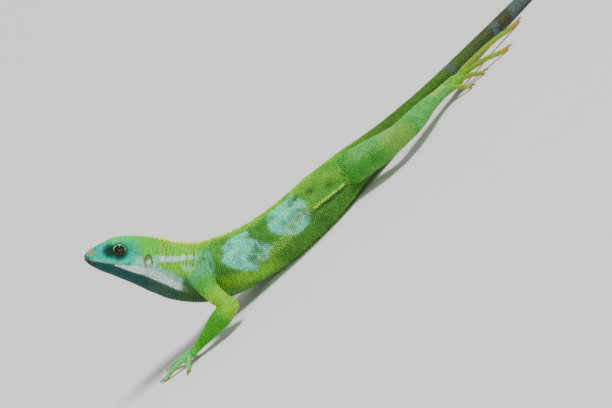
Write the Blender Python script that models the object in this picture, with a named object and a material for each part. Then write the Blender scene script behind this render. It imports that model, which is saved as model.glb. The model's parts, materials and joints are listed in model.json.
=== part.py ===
"""A life-size museum model of a Fijian banded iguana, an adult male about 0.6 m long.

It rests on its belly with its neck and head raised. The left arm reaches forward, both hind legs
trail back beside the root of the tail, and the long tail lies in a slow curve on the ground.

The head points to -X and its left side faces -Y. The ground is z = 0, and the origin is in the
middle of the flat on which the belly rests. Sizes in this file are millimetres until a mesh is made.
"""
import math

import bmesh
import bpy
import numpy as np

MM = 0.001
GAP = 0.3
HEAD_SIDES = 32
TRUNK_SIDES = 24
TAIL_SIDES = 12
LIMB_SIDES = 12
DIGIT_SIDES = 7
CLAW_SIDES = 6
LIP_SIDES = 6
ALMOND_SIDES = 16
HEAD_STEP = 1.7
TRUNK_STEP = 4.6
TAIL_STEP = 6.0
LIMB_STEP = 3.4
DIGIT_STEP = 3.6
# Segments and rings of the eyes and lids, the nostrils, and the ears.
LID_MESH = (18, 10)
EYE_MESH = (16, 10)
NOSTRIL_MESH = (10, 8)
EAR_MESH = (14, 8)

# Where the body is parted, measured along it from the snout.
NECK_AT = 40.0
CHEST_AT = 63.0
BELLY_AT = 98.0
PELVIS_AT = 148.0
TAIL_AT = 192.0
TAIL_PARTS = 5

# The line inside the body: x, y, z, half width, rise above it, drop below it,
# and the squareness of the upper and the lower half of the section.
BODY = [
    (-91.0, 0.0, 83.9, 1.3, 1.4, 1.6, 2.0, 2.0),
    (-90.2, 0.0, 83.3, 2.9, 2.8, 3.0, 2.1, 2.0),
    (-88.6, 0.0, 82.0, 4.3, 4.2, 4.9, 2.2, 2.0),
    (-84.8, 0.0, 78.8, 6.2, 7.0, 7.8, 2.3, 1.9),
    (-80.7, 0.0, 74.8, 8.1, 10.1, 9.9, 2.4, 1.8),
    (-76.9, 0.0, 71.0, 9.7, 11.7, 11.8, 2.4, 1.75),
    (-72.6, 0.0, 66.2, 11.2, 12.8, 13.8, 2.3, 1.65),
    (-66.5, 0.0, 58.8, 11.6, 13.3, 16.6, 2.1, 1.55),
    (-60.5, 0.0, 49.9, 10.4, 12.7, 18.8, 1.9, 1.55),
    (-54.4, 0.0, 40.9, 11.8, 13.1, 20.2, 1.85, 1.6),
    (-46.0, 0.0, 31.4, 14.6, 15.0, 20.0, 1.9, 1.75),
    (-34.0, 0.0, 23.8, 17.2, 16.6, 18.7, 2.0, 2.0),
    (-16.8, 0.0, 17.9, 18.6, 16.3, 16.8, 2.0, 2.2),
    (3.9, 0.0, 14.4, 19.2, 16.3, 16.3, 2.0, 2.3),
    (29.7, 1.0, 13.6, 17.6, 15.6, 15.2, 2.0, 2.2),
    (58.7, 7.0, 13.0, 12.6, 12.6, 11.2, 2.0, 2.1),
    (74.0, 11.6, 12.3, 9.8, 9.9, 9.3, 2.0, 2.0),
    (89.6, 17.5, 11.2, 7.7, 7.9, 7.6, 2.0, 2.0),
    (130.7, 34.2, 8.7, 5.0, 5.0, 4.8, 2.0, 2.0),
    (165.0, 48.2, 6.4, 4.5, 4.5, 4.4, 2.0, 2.0),
    (197.0, 60.6, 4.7, 4.1, 4.1, 4.1, 2.0, 2.0),
    (240.0, 73.6, 3.4, 3.6, 3.6, 3.6, 2.0, 2.0),
    (290.0, 81.4, 2.8, 3.0, 3.0, 3.0, 2.0, 2.0),
    (345.0, 78.6, 2.2, 2.4, 2.4, 2.4, 2.0, 2.0),
    (400.0, 63.6, 1.65, 1.8, 1.8, 1.8, 2.0, 2.0),
    (445.0, 48.6, 1.15, 1.25, 1.25, 1.25, 2.0, 2.0),
    (470.0, 41.6, 0.65, 0.65, 0.65, 0.65, 2.0, 2.0),
]

# Soft swellings and hollows of the head: distance from the snout, height, how far to the side,
# reach and lift.
HEAD_FORMS = [
    (16.5, 9.0, 5.8, 3.2, 0.7),
    (22.5, 9.4, 6.6, 3.4, 0.6),
    (12.0, 4.6, 6.5, 3.2, -0.8),
    (29.0, -1.5, 11.0, 6.0, 1.0),
    (27.5, 6.0, 9.5, 4.0, -0.4),
]

# Depth of the mouth line below the body's line, by distance from the snout.
MOUTH = [(-4.0, 0.5), (0.0, -0.3), (4.2, -1.7), (9.8, -2.6), (15.7, -2.8), (21.5, -2.3), (25.0, -1.5)]
MOUTH_CORNER = 25.0
MOUTH_STEP = 2.2
# Behind its corner the cut turns down, past these two places, and comes out under the throat.
JAW_TURN = (26.8, -4.5)
JAW_BACK = (31.5, -26.0)
JAW_CUT = {"half_width": 16.0, "half_height": GAP / 2 + 0.02}
# The beads of the lips: how far above or below the mouth line and into the skin they lie, how far they
# stop short of its corner, where they meet in front, and how they taper at both ends.
LIP = {"radius": 0.62, "offset": 0.36, "sunk": 0.2, "short": 2.2, "step": 2.0, "last": 0.9, "front": 0.4}
LIP_TAPER = (0.5, 0.8)

# An eye looks out of the head, a little forwards and up. The opening between its lids is wider than it
# is high, is drawn in towards its corners, and opens outwards like a funnel.
EYE = {"back": 19.7, "up": 5.9, "out": 6.5, "radius": 3.6, "forwards": 0.16, "upwards": 0.10}
LID = 0.7
EYE_OPENING = {"half_width": 3.1, "half_height": 2.4, "corners": 0.18, "inside": 1.0, "outside": 7.5}
EYE_FUNNEL = 1.25
NOSTRIL = {"back": 3.9, "up": 2.9, "out": 3.2, "bump": 1.3, "hole": 0.6, "forwards": 0.35, "upwards": 0.45}
NOSTRIL_TALL = 1.1
NOSTRIL_HOLE_OUT = 0.9
EAR = {"back": 35.6, "up": 1.2, "lean": 0.25}
CUP = {"out": 0.5, "half_width": 2.4, "half_height": 3.8, "depth": 2.4}
DRUM = {"out": -1.0, "half_width": 1.5, "half_height": 2.6, "depth": 0.5}

# The crest, by distance from the snout: spine height and the space to the next spine.
CREST = [
    (36.0, 1.3, 2.2),
    (43.0, 2.0, 2.3),
    (60.0, 1.9, 2.3),
    (80.0, 1.4, 2.2),
    (100.0, 1.1, 2.2),
    (205.0, 0.7, 2.6),
]
# A spine's half length and half width grow with its height, and so does the room it keeps to a parting.
SPINE_LEAN = 0.45
SPINE_ROOT = 1.0
SPINE_LENGTH = (0.5, 0.4)
SPINE_WIDTH = (0.35, 0.22)
SPINE_ROOM = (0.8, 0.8)

# Each limb: x, y, z, half width and half thickness, from inside the body to the knuckles.
LEFT_ARM = [
    (-50.0, -3.0, 34.4, 7.0, 6.8),
    (-49.6, -12.0, 31.2, 6.8, 6.4),
    (-50.4, -19.6, 26.0, 5.7, 5.6),
    (-49.8, -26.0, 19.6, 5.1, 5.1),
    (-47.0, -30.4, 11.6, 5.3, 5.2),
    (-53.6, -30.0, 10.4, 6.2, 6.0),
    (-60.4, -28.6, 9.4, 5.5, 5.2),
    (-69.0, -26.2, 7.3, 4.1, 3.8),
    (-75.8, -24.0, 5.8, 3.1, 2.7),
    (-80.6, -22.0, 4.9, 4.2, 2.4),
    (-86.4, -19.4, 3.7, 3.9, 2.0),
    (-89.6, -18.0, 2.8, 2.2, 1.3),
]
RIGHT_ARM = [
    (-55.0, 3.0, 35.0, 7.4, 7.2),
    (-52.6, 12.0, 32.0, 7.0, 6.6),
    (-44.0, 19.0, 28.6, 5.7, 5.6),
    (-34.4, 25.6, 24.0, 5.1, 5.1),
    (-25.8, 31.8, 18.4, 5.2, 5.1),
    (-28.2, 37.4, 14.8, 5.8, 5.6),
    (-31.4, 42.6, 11.0, 5.5, 5.2),
    (-35.2, 48.6, 7.2, 4.1, 3.8),
    (-38.2, 52.8, 5.2, 3.1, 2.7),
    (-40.6, 56.9, 4.2, 4.2, 2.4),
    (-43.4, 61.8, 3.3, 3.9, 2.0),
    (-44.8, 64.6, 2.6, 2.2, 1.3),
]
LEFT_LEG = [
    (50.0, 3.0, 16.0, 9.0, 9.0),
    (59.0, -3.5, 15.8, 9.4, 9.6),
    (69.0, -10.5, 15.4, 8.8, 9.2),
    (79.0, -16.5, 15.0, 7.6, 8.2),
    (87.5, -18.4, 14.4, 6.6, 7.2),
    (96.0, -14.6, 13.4, 6.4, 6.8),
    (105.0, -8.0, 12.4, 5.9, 6.2),
    (115.0, 0.8, 11.2, 4.5, 4.8),
    (123.6, 7.6, 9.8, 3.5, 3.6),
    (130.0, 11.6, 8.4, 4.6, 3.8),
    (137.6, 15.4, 7.0, 5.0, 3.9),
    (142.6, 17.6, 6.0, 3.4, 2.6),
]
RIGHT_LEG = [
    (50.0, 9.0, 14.0, 9.0, 8.6),
    (58.0, 16.5, 12.8, 9.2, 8.4),
    (66.5, 24.2, 10.6, 8.4, 7.4),
    (74.0, 30.4, 8.8, 7.0, 6.3),
    (81.5, 35.6, 7.8, 6.2, 5.8),
    (88.5, 40.6, 7.2, 6.0, 5.6),
    (96.0, 45.8, 6.6, 5.4, 5.0),
    (104.0, 50.8, 6.0, 4.1, 4.0),
    (111.0, 54.6, 5.4, 3.4, 3.2),
    (117.4, 57.2, 4.8, 4.6, 2.7),
    (125.0, 59.8, 3.9, 5.0, 2.4),
    (130.0, 61.2, 3.1, 3.4, 1.7),
]

# Each digit, first to fifth: x, y, z of its knuckle, then x and y of its end and its half width.
LEFT_FINGERS = [
    (-80.8, -18.4, 4.6, -82.6, -9.4, 1.25),
    (-84.6, -17.0, 4.4, -91.4, -2.6, 1.35),
    (-87.2, -17.8, 4.1, -101.6, 0.4, 1.45),
    (-87.6, -20.0, 3.9, -106.8, -9.6, 1.45),
    (-85.0, -23.0, 3.8, -90.2, -33.4, 1.3),
]
RIGHT_FINGERS = [
    (-43.8, 55.4, 3.9, -51.4, 52.2, 1.25),
    (-46.2, 58.8, 3.8, -58.6, 62.4, 1.35),
    (-45.6, 62.4, 3.6, -60.2, 76.2, 1.45),
    (-43.6, 63.4, 3.5, -50.0, 84.0, 1.45),
    (-40.4, 61.6, 3.4, -34.6, 72.2, 1.3),
]
LEFT_TOES = [
    (132.4, 9.2, 6.4, 141.0, 2.8, 1.45),
    (138.4, 12.4, 6.2, 153.0, 7.6, 1.55),
    (141.2, 15.2, 6.8, 173.4, 10.8, 1.6),
    (141.6, 18.2, 7.4, 194.0, 43.0, 1.6),
    (131.6, 15.6, 7.0, 139.2, 24.8, 1.4),
]
RIGHT_TOES = [
    (121.0, 62.4, 3.8, 128.4, 69.8, 1.45),
    (126.0, 63.2, 3.7, 140.0, 72.4, 1.55),
    (129.2, 61.8, 3.5, 159.0, 73.6, 1.6),
    (129.6, 59.6, 3.4, 177.0, 71.6, 1.6),
    (120.4, 54.4, 3.7, 131.0, 48.8, 1.4),
]
# The places in these tables where each limb is parted. Its elbow or knee bends from one ring to the
# next, over this many half widths either side of the joint.
JOINT = 4
WRIST = 8
BEND = 1.4
SLICE_REACH = 1.5
ROOT_STEP = 4.0

# Along a digit, as shares of its length: bow upwards in mm, share of the fall to the ground, thickness.
DIGIT_SHAPE = [
    (-2.4, 0.0, 0.0, 1.0),
    (0.0, 0.3, 0.0, 1.05),
    (0.3, 0.3, 0.1, 1.0),
    (0.6, 0.2, 0.4, 0.94),
    (0.85, 0.0, 0.85, 0.9),
    (1.0, 0.0, 1.0, 0.8),
]
PAD = 0.78
# Along a claw, as shares of its length: place, height and thickness.
CLAW_SHAPE = [
    (-0.35, 0.02, 1.0),
    (0.05, 0.14, 1.0),
    (0.45, 0.16, 0.78),
    (0.8, -0.02, 0.45),
    (1.0, -0.24, 0.2),
]
CLAW = {"length": 3.4, "half_depth": 0.72, "half_width": 0.5}
# The stretches of the body that the limbs grow from, by distance from the snout.
SHOULDERS = (42.0, 125.0)
HIPS = (120.0, 240.0)
# Rings close together at the snout, and a place above the line that is nearer to the head than the jaw.
SNOUT_RINGS = [0.0, 0.5, 1.2, 2.2, 3.4]
SNOUT_END = 4.8
HEAD_SIDE = (20.0, 12.0)
SHARP = 50.0

GREENS = {
    "head": ((0.10, 0.50, 0.36, 1), 0.45),
    "body": ((0.28, 0.55, 0.12, 1), 0.5),
    "throat": ((0.35, 0.62, 0.50, 1), 0.5),
    "tail": ((0.24, 0.42, 0.16, 1), 0.5),
    "eye": ((0.10, 0.03, 0.02, 1), 0.08),
    "ear": ((0.40, 0.38, 0.25, 1), 0.35),
}


def slopes(keys, values, limited):
    """The slope at each key of a smooth curve through the values. A limited one never overshoots."""
    steps = np.diff(keys)[:, None]
    rates = np.diff(values, axis=0) / steps
    before, after = rates[:-1], rates[1:]
    inner = (steps[1:] * before + steps[:-1] * after) / (steps[1:] + steps[:-1])
    if limited:
        same_way = before * after > 0
        mean = 2 * before * after / np.where(same_way, before + after, 1.0)
        inner = np.where(same_way, mean, 0.0)
    return np.vstack([rates[:1], inner, rates[-1:]])


def through(keys, values, at, limited=False):
    """The curve's value and slope at a distance. It runs straight on past its ends."""
    keys, values = np.asarray(keys, float), np.asarray(values, float)
    if values.ndim == 1:
        values = values[:, None]
    slope = slopes(keys, values, limited)
    i = int(np.clip(np.searchsorted(keys, at) - 1, 0, len(keys) - 2))
    width = keys[i + 1] - keys[i]
    inside = min(max(at, keys[0]), keys[-1])
    t = (inside - keys[i]) / width
    here = (
        (2 * t**3 - 3 * t**2 + 1) * values[i]
        + (t**3 - 2 * t**2 + t) * width * slope[i]
        + (3 * t**2 - 2 * t**3) * values[i + 1]
        + (t**3 - t**2) * width * slope[i + 1]
    )
    rate = (
        (6 * t**2 - 6 * t) * (values[i] - values[i + 1]) / width
        + (3 * t**2 - 4 * t + 1) * slope[i]
        + (3 * t**2 - 2 * t) * slope[i + 1]
    )
    return here + rate * (at - inside), rate


def unit(v):
    return v / np.linalg.norm(v)


def distances(points):
    return np.concatenate([[0.0], np.cumsum(np.linalg.norm(np.diff(points, axis=0), axis=1))])


class Trunk:
    """The body from snout to tail tip: a line with an egg-shaped section at each distance along it."""

    def __init__(self, stations):
        rows = np.array(stations, float)
        self.points, self.sizes = rows[:, :3], rows[:, 3:]
        self.keys = distances(self.points)
        self.length = self.keys[-1]

    def frame(self, at):
        """The line's point, its direction towards the tail, the animal's right and its back."""
        centre, rate = through(self.keys, self.points, at)
        along = unit(rate)
        right = unit(np.cross((0, 0, 1), along))
        return centre, along, right, np.cross(along, right)

    def place(self, at, out, up):
        centre, _, right, back = self.frame(at)
        return centre + right * out + back * up

    def section(self, at, angle, grow=0.0):
        """How far out and up the skin is at an angle, with 0 on the right and 90 degrees on the back."""
        width, rise, drop, upper, lower = through(self.keys, self.sizes, at, limited=True)[0]
        c, s = math.cos(angle), math.sin(angle)
        power, height = (upper, rise) if s >= 0 else (lower, drop)
        out = (width + grow) * math.copysign(abs(c) ** (2 / power), c)
        up = (height + grow) * math.copysign(abs(s) ** (2 / power), s)
        return out, up

    def ring(self, at, sides, grow=0.0):
        turn = [2 * math.pi * (i + 0.5) / sides for i in range(sides)]
        ring = [self.place(at, *self.section(at, angle, grow)) for angle in turn]
        return shaped(self, at, np.array(ring)) if at < CHEST_AT else np.array(ring)

    def skin_out(self, at, up):
        """How far to the side the skin is at a height above or below the line."""
        width, rise, drop, upper, lower = through(self.keys, self.sizes, at, limited=True)[0]
        power, height = (upper, rise) if up >= 0 else (lower, drop)
        return width * max(0.0, 1 - min(1.0, abs(up) / height) ** power) ** (1 / power)


def shaped(trunk, at, ring):
    """The ring with the head's swellings and hollows."""
    centre = trunk.frame(at)[0]
    outwards = ring - centre
    outwards /= np.linalg.norm(outwards, axis=1)[:, None]
    moved = ring.copy()
    for back, up, out, reach, lift in HEAD_FORMS:
        for side in (-1, 1):
            spot = trunk.place(back, side * out, up)
            near = np.exp(-((np.linalg.norm(ring - spot, axis=1) / reach) ** 2))
            moved += outwards * (lift * near)[:, None]
    return moved


class Limb:
    """A line with an oval section whose thickness is measured upwards."""

    def __init__(self, stations):
        rows = np.array(stations, float)
        self.points, self.sizes = rows[:, :3], rows[:, 3:]
        self.keys = distances(self.points)
        self.length = self.keys[-1]

    def frames(self, places):
        """The line's point and axes at each distance, carried along it without twisting."""
        found, side = [], None
        for at in places:
            centre, rate = through(self.keys, self.points, at)
            along = unit(rate)
            start = np.cross((0, 0, 1), along) if side is None else side
            side = unit(start - along * (start @ along))
            found.append((centre, along, side, np.cross(along, side)))
        return found

    def rings(self, places, sides):
        found = []
        for at, (centre, along, side, lift) in zip(places, self.frames(places)):
            width, thick = through(self.keys, self.sizes, at, limited=True)[0]
            flat = np.array((0.0, 0.0, 1.0)) - along * along[2]
            flat = unit(flat)
            ring = []
            for i in range(sides):
                angle = 2 * math.pi * (i + 0.5) / sides
                way = side * math.cos(angle) + lift * math.sin(angle)
                share = (way @ flat) ** 2
                ring.append(centre + way / math.sqrt(share / thick**2 + (1 - share) / width**2))
            found.append(np.array(ring))
        return found


def lofted(name, rings):
    """A closed skin over the rings, flattened where it would go under the ground."""
    sides = len(rings[0])
    points = np.vstack(rings)
    points[:, 2] = np.maximum(points[:, 2], 0.0)
    faces = []
    for r in range(len(rings) - 1):
        for i in range(sides):
            j = (i + 1) % sides
            a, b = r * sides, (r + 1) * sides
            faces.append((a + i, a + j, b + j, b + i))
    faces.append(tuple(range(sides))[::-1])
    faces.append(tuple(range((len(rings) - 1) * sides, len(rings) * sides)))
    return solid(name, points, faces)


def solid(name, points, faces):
    """A mesh object with its faces pointing out."""
    mesh = bpy.data.meshes.new(name)
    mesh.from_pydata([tuple(p * MM) for p in points], [], faces)
    bm = bmesh.new()
    bm.from_mesh(mesh)
    bmesh.ops.recalc_face_normals(bm, faces=bm.faces)
    bm.to_mesh(mesh)
    bm.free()
    obj = bpy.data.objects.new(name, mesh)
    bpy.context.scene.collection.objects.link(obj)
    return obj


def plate(name, near, far):
    """A closed skin between two outlines."""
    sides = len(near)
    faces = [(i, (i + 1) % sides, sides + (i + 1) % sides, sides + i) for i in range(sides)]
    faces += [tuple(range(sides))[::-1], tuple(range(sides, 2 * sides))]
    return solid(name, np.vstack([near, far]), faces)


def ball(name, centre, axes, radii, segments, rings):
    """An ellipsoid with its own axes."""
    points, faces = [], []
    for r in range(1, rings):
        polar = math.pi * r / rings
        for i in range(segments):
            turn = 2 * math.pi * i / segments
            offset = (math.sin(polar) * math.cos(turn), math.sin(polar) * math.sin(turn), math.cos(polar))
            points.append(centre + sum(axes[k] * radii[k] * offset[k] for k in range(3)))
    for r in range(rings - 2):
        for i in range(segments):
            j = (i + 1) % segments
            a, b = r * segments, (r + 1) * segments
            faces.append((a + i, a + j, b + j, b + i))
    last = len(points)
    points += [centre + axes[2] * radii[2], centre - axes[2] * radii[2]]
    low = (rings - 2) * segments
    for i in range(segments):
        j = (i + 1) % segments
        faces.append((last, i, j))
        faces.append((last + 1, low + j, low + i))
    return solid(name, np.array(points), faces)


def combined(target, others, operation):
    """Joins closed pieces to the target, or cuts them from it, and removes them."""
    if not others:
        return target
    group = bpy.data.collections.new("pieces")
    bpy.context.scene.collection.children.link(group)
    for obj in others:
        bpy.context.scene.collection.objects.unlink(obj)
        group.objects.link(obj)
    boolean = target.modifiers.new("combine", "BOOLEAN")
    boolean.operand_type = "COLLECTION"
    boolean.collection = group
    boolean.operation = operation
    graph = bpy.context.evaluated_depsgraph_get()
    made = bpy.data.meshes.new_from_object(target.evaluated_get(graph))
    target.modifiers.clear()
    target.data = made
    for obj in others:
        bpy.data.objects.remove(obj)
    bpy.data.collections.remove(group)
    return target


def bodies(obj):
    """The mesh's separate closed surfaces as lists of vertices, the largest first."""
    bm = bmesh.new()
    bm.from_mesh(obj.data)
    bmesh.ops.remove_doubles(bm, verts=bm.verts, dist=1e-7)
    bm.to_mesh(obj.data)
    seen, found = set(), []
    bm.verts.ensure_lookup_table()
    for start in bm.verts:
        if start.index in seen:
            continue
        queue, group = [start], []
        seen.add(start.index)
        while queue:
            vert = queue.pop()
            group.append(vert.index)
            for edge in vert.link_edges:
                other = edge.other_vert(vert)
                if other.index not in seen:
                    seen.add(other.index)
                    queue.append(other)
        found.append(group)
    bm.free()
    return sorted(found, key=len, reverse=True)


def only(obj, group):
    """The object with nothing left but these vertices."""
    keep = set(group)
    bm = bmesh.new()
    bm.from_mesh(obj.data)
    bmesh.ops.delete(bm, geom=[v for v in bm.verts if v.index not in keep], context="VERTS")
    bm.to_mesh(obj.data)
    bm.free()
    return obj


def largest(obj):
    return only(obj, bodies(obj)[0])


def spaced(start, end, step):
    """Even places from start to end, about a step apart."""
    return np.linspace(start, end, max(2, round(abs(end - start) / step) + 1))


def spine(name, trunk, at, height):
    """One scale of the crest: a four-sided spine that leans back, with its root in the skin."""
    centre, along, right, back = trunk.frame(at)
    top = centre + back * trunk.section(at, math.pi / 2)[1]
    foot = top - back * SPINE_ROOT
    length = along * (SPINE_LENGTH[0] + SPINE_LENGTH[1] * height)
    width = right * (SPINE_WIDTH[0] + SPINE_WIDTH[1] * height)
    base = [foot - length, foot + width, foot + length, foot - width]
    tip = top + back * height + along * height * SPINE_LEAN
    faces = [(0, 1, 4), (1, 2, 4), (2, 3, 4), (3, 0, 4), (3, 2, 1, 0)]
    return solid(name, np.array(base + [tip]), faces)


def crest(trunk, start, end):
    """The spines between two partings, kept clear of both."""
    keys = [row[0] for row in CREST]
    rows = [row[1:] for row in CREST]
    at, found = keys[0], []
    while at < keys[-1]:
        height, step = through(keys, rows, at, limited=True)[0]
        room = SPINE_ROOM[0] + SPINE_ROOM[1] * height
        if start + room < at < end - room:
            found.append(spine("spine", trunk, at, height))
        at += step
    return found


def trunk_rings(trunk, places, sides):
    """The body's rings, with the first and last moved in by half a gap."""
    rings = [trunk.ring(at, sides) for at in places]
    rings[0] += trunk.frame(places[0])[1] * GAP / 2
    rings[-1] -= trunk.frame(places[-1])[1] * GAP / 2
    return rings


def trunk_part(name, trunk, start, end, step, sides):
    """One length of the body with its own part of the crest."""
    body = lofted(name, trunk_rings(trunk, spaced(start, end, step), sides))
    return largest(combined(body, crest(trunk, start, end), "UNION"))


def mouth_height(at):
    return float(through([m[0] for m in MOUTH], [m[1] for m in MOUTH], at)[0][0])


def mouth_cut(trunk):
    """A thin curved plate along the mouth, turned down behind the jaw."""
    path = [(at, mouth_height(at)) for at in spaced(MOUTH[0][0], MOUTH_CORNER, MOUTH_STEP)]
    path += [JAW_TURN, JAW_BACK]
    half = JAW_CUT["half_width"]
    points, faces = [], []
    for k, (at, up) in enumerate(path):
        before, after = path[max(0, k - 1)], path[min(len(path) - 1, k + 1)]
        way = unit(np.array((after[0] - before[0], after[1] - before[1])))
        normal = np.array((-way[1], way[0])) * JAW_CUT["half_height"]
        for side in (-half, half):
            for sign in (-1, 1):
                points.append(trunk.place(at + sign * normal[0], side, up + sign * normal[1]))
    for k in range(len(path) - 1):
        a, b = 4 * k, 4 * (k + 1)
        for i, j in ((0, 1), (1, 3), (3, 2), (2, 0)):
            faces.append((a + i, a + j, b + j, b + i))
    last = 4 * (len(path) - 1)
    faces += [(0, 2, 3, 1), (last, last + 1, last + 3, last + 2)]
    return solid("mouth_cut", np.array(points), faces)


def lip(trunk, name, offset):
    """A bead along the edge of the mouth, from one corner round the snout to the other."""
    right = []
    for at in spaced(MOUTH_CORNER - LIP["short"], LIP["last"], LIP["step"]):
        up = mouth_height(at) + offset
        right.append(trunk.place(at, trunk.skin_out(at, up) - LIP["sunk"], up))
    front = trunk.place(LIP["front"], 0.0, mouth_height(0.0) + offset)
    left = [p * np.array((1, -1, 1)) for p in right[::-1]]
    line = np.array(right + [front] + left)
    taper = list(LIP_TAPER)
    ends = taper + [1.0] * (len(line) - 2 * len(taper)) + taper[::-1]
    sizes = [(LIP["radius"] * share, LIP["radius"] * share) for share in ends]
    bead = Limb([tuple(p) + s for p, s in zip(line, sizes)])
    return lofted(name, bead.rings(bead.keys, LIP_SIDES))


def eye_axes(trunk, side):
    """The eye's centre, with its axis pointing out, a little forwards and up."""
    _, along, right, back = trunk.frame(EYE["back"])
    centre = trunk.place(EYE["back"], side * EYE["out"], EYE["up"])
    outwards = unit(right * side - along * EYE["forwards"] + back * EYE["upwards"])
    forwards = unit(-along - outwards * (-along @ outwards))
    return centre, forwards, np.cross(outwards, forwards) * side, outwards


def almond(trunk, side):
    """The opening between the lids, wider than it is high, as a short bar along the eye's axis."""
    centre, forwards, up, outwards = eye_axes(trunk, side)
    if up[2] < 0:
        up = -up
    outline = []
    for i in range(ALMOND_SIDES):
        turn = 2 * math.pi * i / ALMOND_SIDES
        drawn_in = 1 - EYE_OPENING["corners"] * abs(math.cos(turn))
        across = forwards * EYE_OPENING["half_width"] * math.cos(turn)
        outline.append(across + up * EYE_OPENING["half_height"] * math.sin(turn) * drawn_in)
    near = centre + outwards * EYE_OPENING["inside"] + np.array(outline)
    far = centre + outwards * EYE_OPENING["outside"] + np.array(outline) * EYE_FUNNEL
    return plate("almond", near, far)


def skull(trunk):
    """The head in one, with lids, lips, nostrils and ear cups, before the jaw is parted from it."""
    places = np.concatenate([SNOUT_RINGS, spaced(SNOUT_END, NECK_AT, HEAD_STEP)])
    head = lofted("skull", trunk_rings(trunk, places, HEAD_SIDES))
    added = [lip(trunk, "upper_lip", LIP["offset"]), lip(trunk, "lower_lip", -LIP["offset"])]
    added += crest(trunk, 0.0, NECK_AT)
    removed = []
    for side in (-1, 1):
        centre, forwards, up, outwards = eye_axes(trunk, side)
        socket = EYE["radius"] + GAP
        added.append(ball("lids", centre, (forwards, up, outwards), [socket + LID] * 3, *LID_MESH))
        removed.append(ball("socket", centre, (forwards, up, outwards), [socket] * 3, *LID_MESH))
        removed.append(almond(trunk, side))
        added.append(nostril(trunk, side, NOSTRIL["bump"], 0.0))
        removed.append(nostril(trunk, side, NOSTRIL["hole"], NOSTRIL["bump"] * NOSTRIL_HOLE_OUT))
        removed.append(ear_shape(trunk, side, CUP))
    combined(head, added, "UNION")
    combined(head, removed, "DIFFERENCE")
    return head


def nostril(trunk, side, radius, outwards):
    """The small raised scale round the nostril, or the hole in it."""
    _, along, right, back = trunk.frame(NOSTRIL["back"])
    way = unit(right * side - along * NOSTRIL["forwards"] + back * NOSTRIL["upwards"])
    centre = trunk.place(NOSTRIL["back"], side * NOSTRIL["out"], NOSTRIL["up"]) + way * outwards
    level = unit(np.cross(way, back))
    radii = [radius, radius, radius * NOSTRIL_TALL]
    return ball("nostril", centre, (level, np.cross(way, level), way), radii, *NOSTRIL_MESH)


def ear_shape(trunk, side, sizes):
    """The cup of the ear, or the drum that lies on its floor."""
    _, along, right, back = trunk.frame(EAR["back"])
    out = trunk.skin_out(EAR["back"], EAR["up"]) + sizes["out"]
    centre = trunk.place(EAR["back"], side * out, EAR["up"])
    outwards = right * side
    upright = unit(back - along * EAR["lean"])
    radii = (sizes["half_width"], sizes["half_height"], sizes["depth"])
    return ball("ear", centre, (np.cross(upright, outwards), upright, outwards), radii, *EAR_MESH)


def head_parts(trunk):
    """The head and the jaw, parted along the mouth."""
    whole = combined(skull(trunk), [mouth_cut(trunk)], "DIFFERENCE")
    back, up = HEAD_SIDE
    return parted(whole, ["head", "jaw"], trunk.place(back, 0.0, up))


def head_insets(trunk):
    """The eyeballs and the ear drums."""
    made = []
    for side, mark in ((-1, "l"), (1, "r")):
        centre, forwards, up, outwards = eye_axes(trunk, side)
        made.append(ball("eye_" + mark, centre, (forwards, up, outwards), [EYE["radius"]] * 3, *EYE_MESH))
        drum = ear_shape(trunk, side, DRUM)
        drum.name = "ear_" + mark
        made.append(drum)
    return made


def grown_trunk(trunk, start, end, step):
    """The body a little swollen, to cut limb roots clear of it."""
    return lofted("grown", [trunk.ring(at, TRUNK_SIDES, GAP) for at in spaced(start, end, step)])


def slice_across(limb, at):
    """A thin round plate across a limb, wide enough to part it there."""
    centre, along, side, lift = limb.frames([0.0, at])[1]
    reach = SLICE_REACH * max(through(limb.keys, limb.sizes, at)[0])
    turns = [2 * math.pi * i / LIMB_SIDES for i in range(LIMB_SIDES)]
    rim = np.array([side * math.cos(t) + lift * math.sin(t) for t in turns]) * reach + centre
    return plate("slice", rim - along * GAP / 2, rim + along * GAP / 2)


def digit(x, y, z, end_x, end_y, half):
    """A finger or toe: it arches from the knuckle down to its pad and ends in a curved claw."""
    start, pad = np.array((x, y, z)), half * PAD
    way = np.array((end_x - x, end_y - y, 0.0))
    length = np.linalg.norm(way)
    way /= length
    rows = []
    for share, bow, fall, thick in DIGIT_SHAPE:
        point = start + way * (share if share < 0 else share * length)
        rows.append((point[0], point[1], z + bow - fall * (z - pad), half * thick, half * thick))
    line = Limb(rows)
    finger = lofted("digit", line.rings(spaced(0.0, line.length, DIGIT_STEP), DIGIT_SIDES))
    tip, rows = np.array(rows[-1][:3]), []
    for share, lift, thick in CLAW_SHAPE:
        point = tip + way * share * CLAW["length"]
        depth = CLAW["half_depth"] * thick
        height = max(point[2] + lift * CLAW["length"], depth)
        rows.append((point[0], point[1], height, CLAW["half_width"] * thick, depth))
    claw = Limb(rows)
    return [finger, lofted("claw", claw.rings(claw.keys, CLAW_SIDES))]


def whole_limb(limb, digits):
    """A limb from its root inside the body to the claws, in one."""
    joint, bend = limb.keys[JOINT], limb.sizes[JOINT][0] * BEND
    upper = np.append(spaced(0.0, joint - bend, LIMB_STEP), joint)
    lower = spaced(joint + bend, limb.length, LIMB_STEP)
    base = lofted("limb", limb.rings(np.append(upper, lower), LIMB_SIDES))
    return combined(base, [piece for row in digits for piece in digit(*row)], "UNION")


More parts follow.
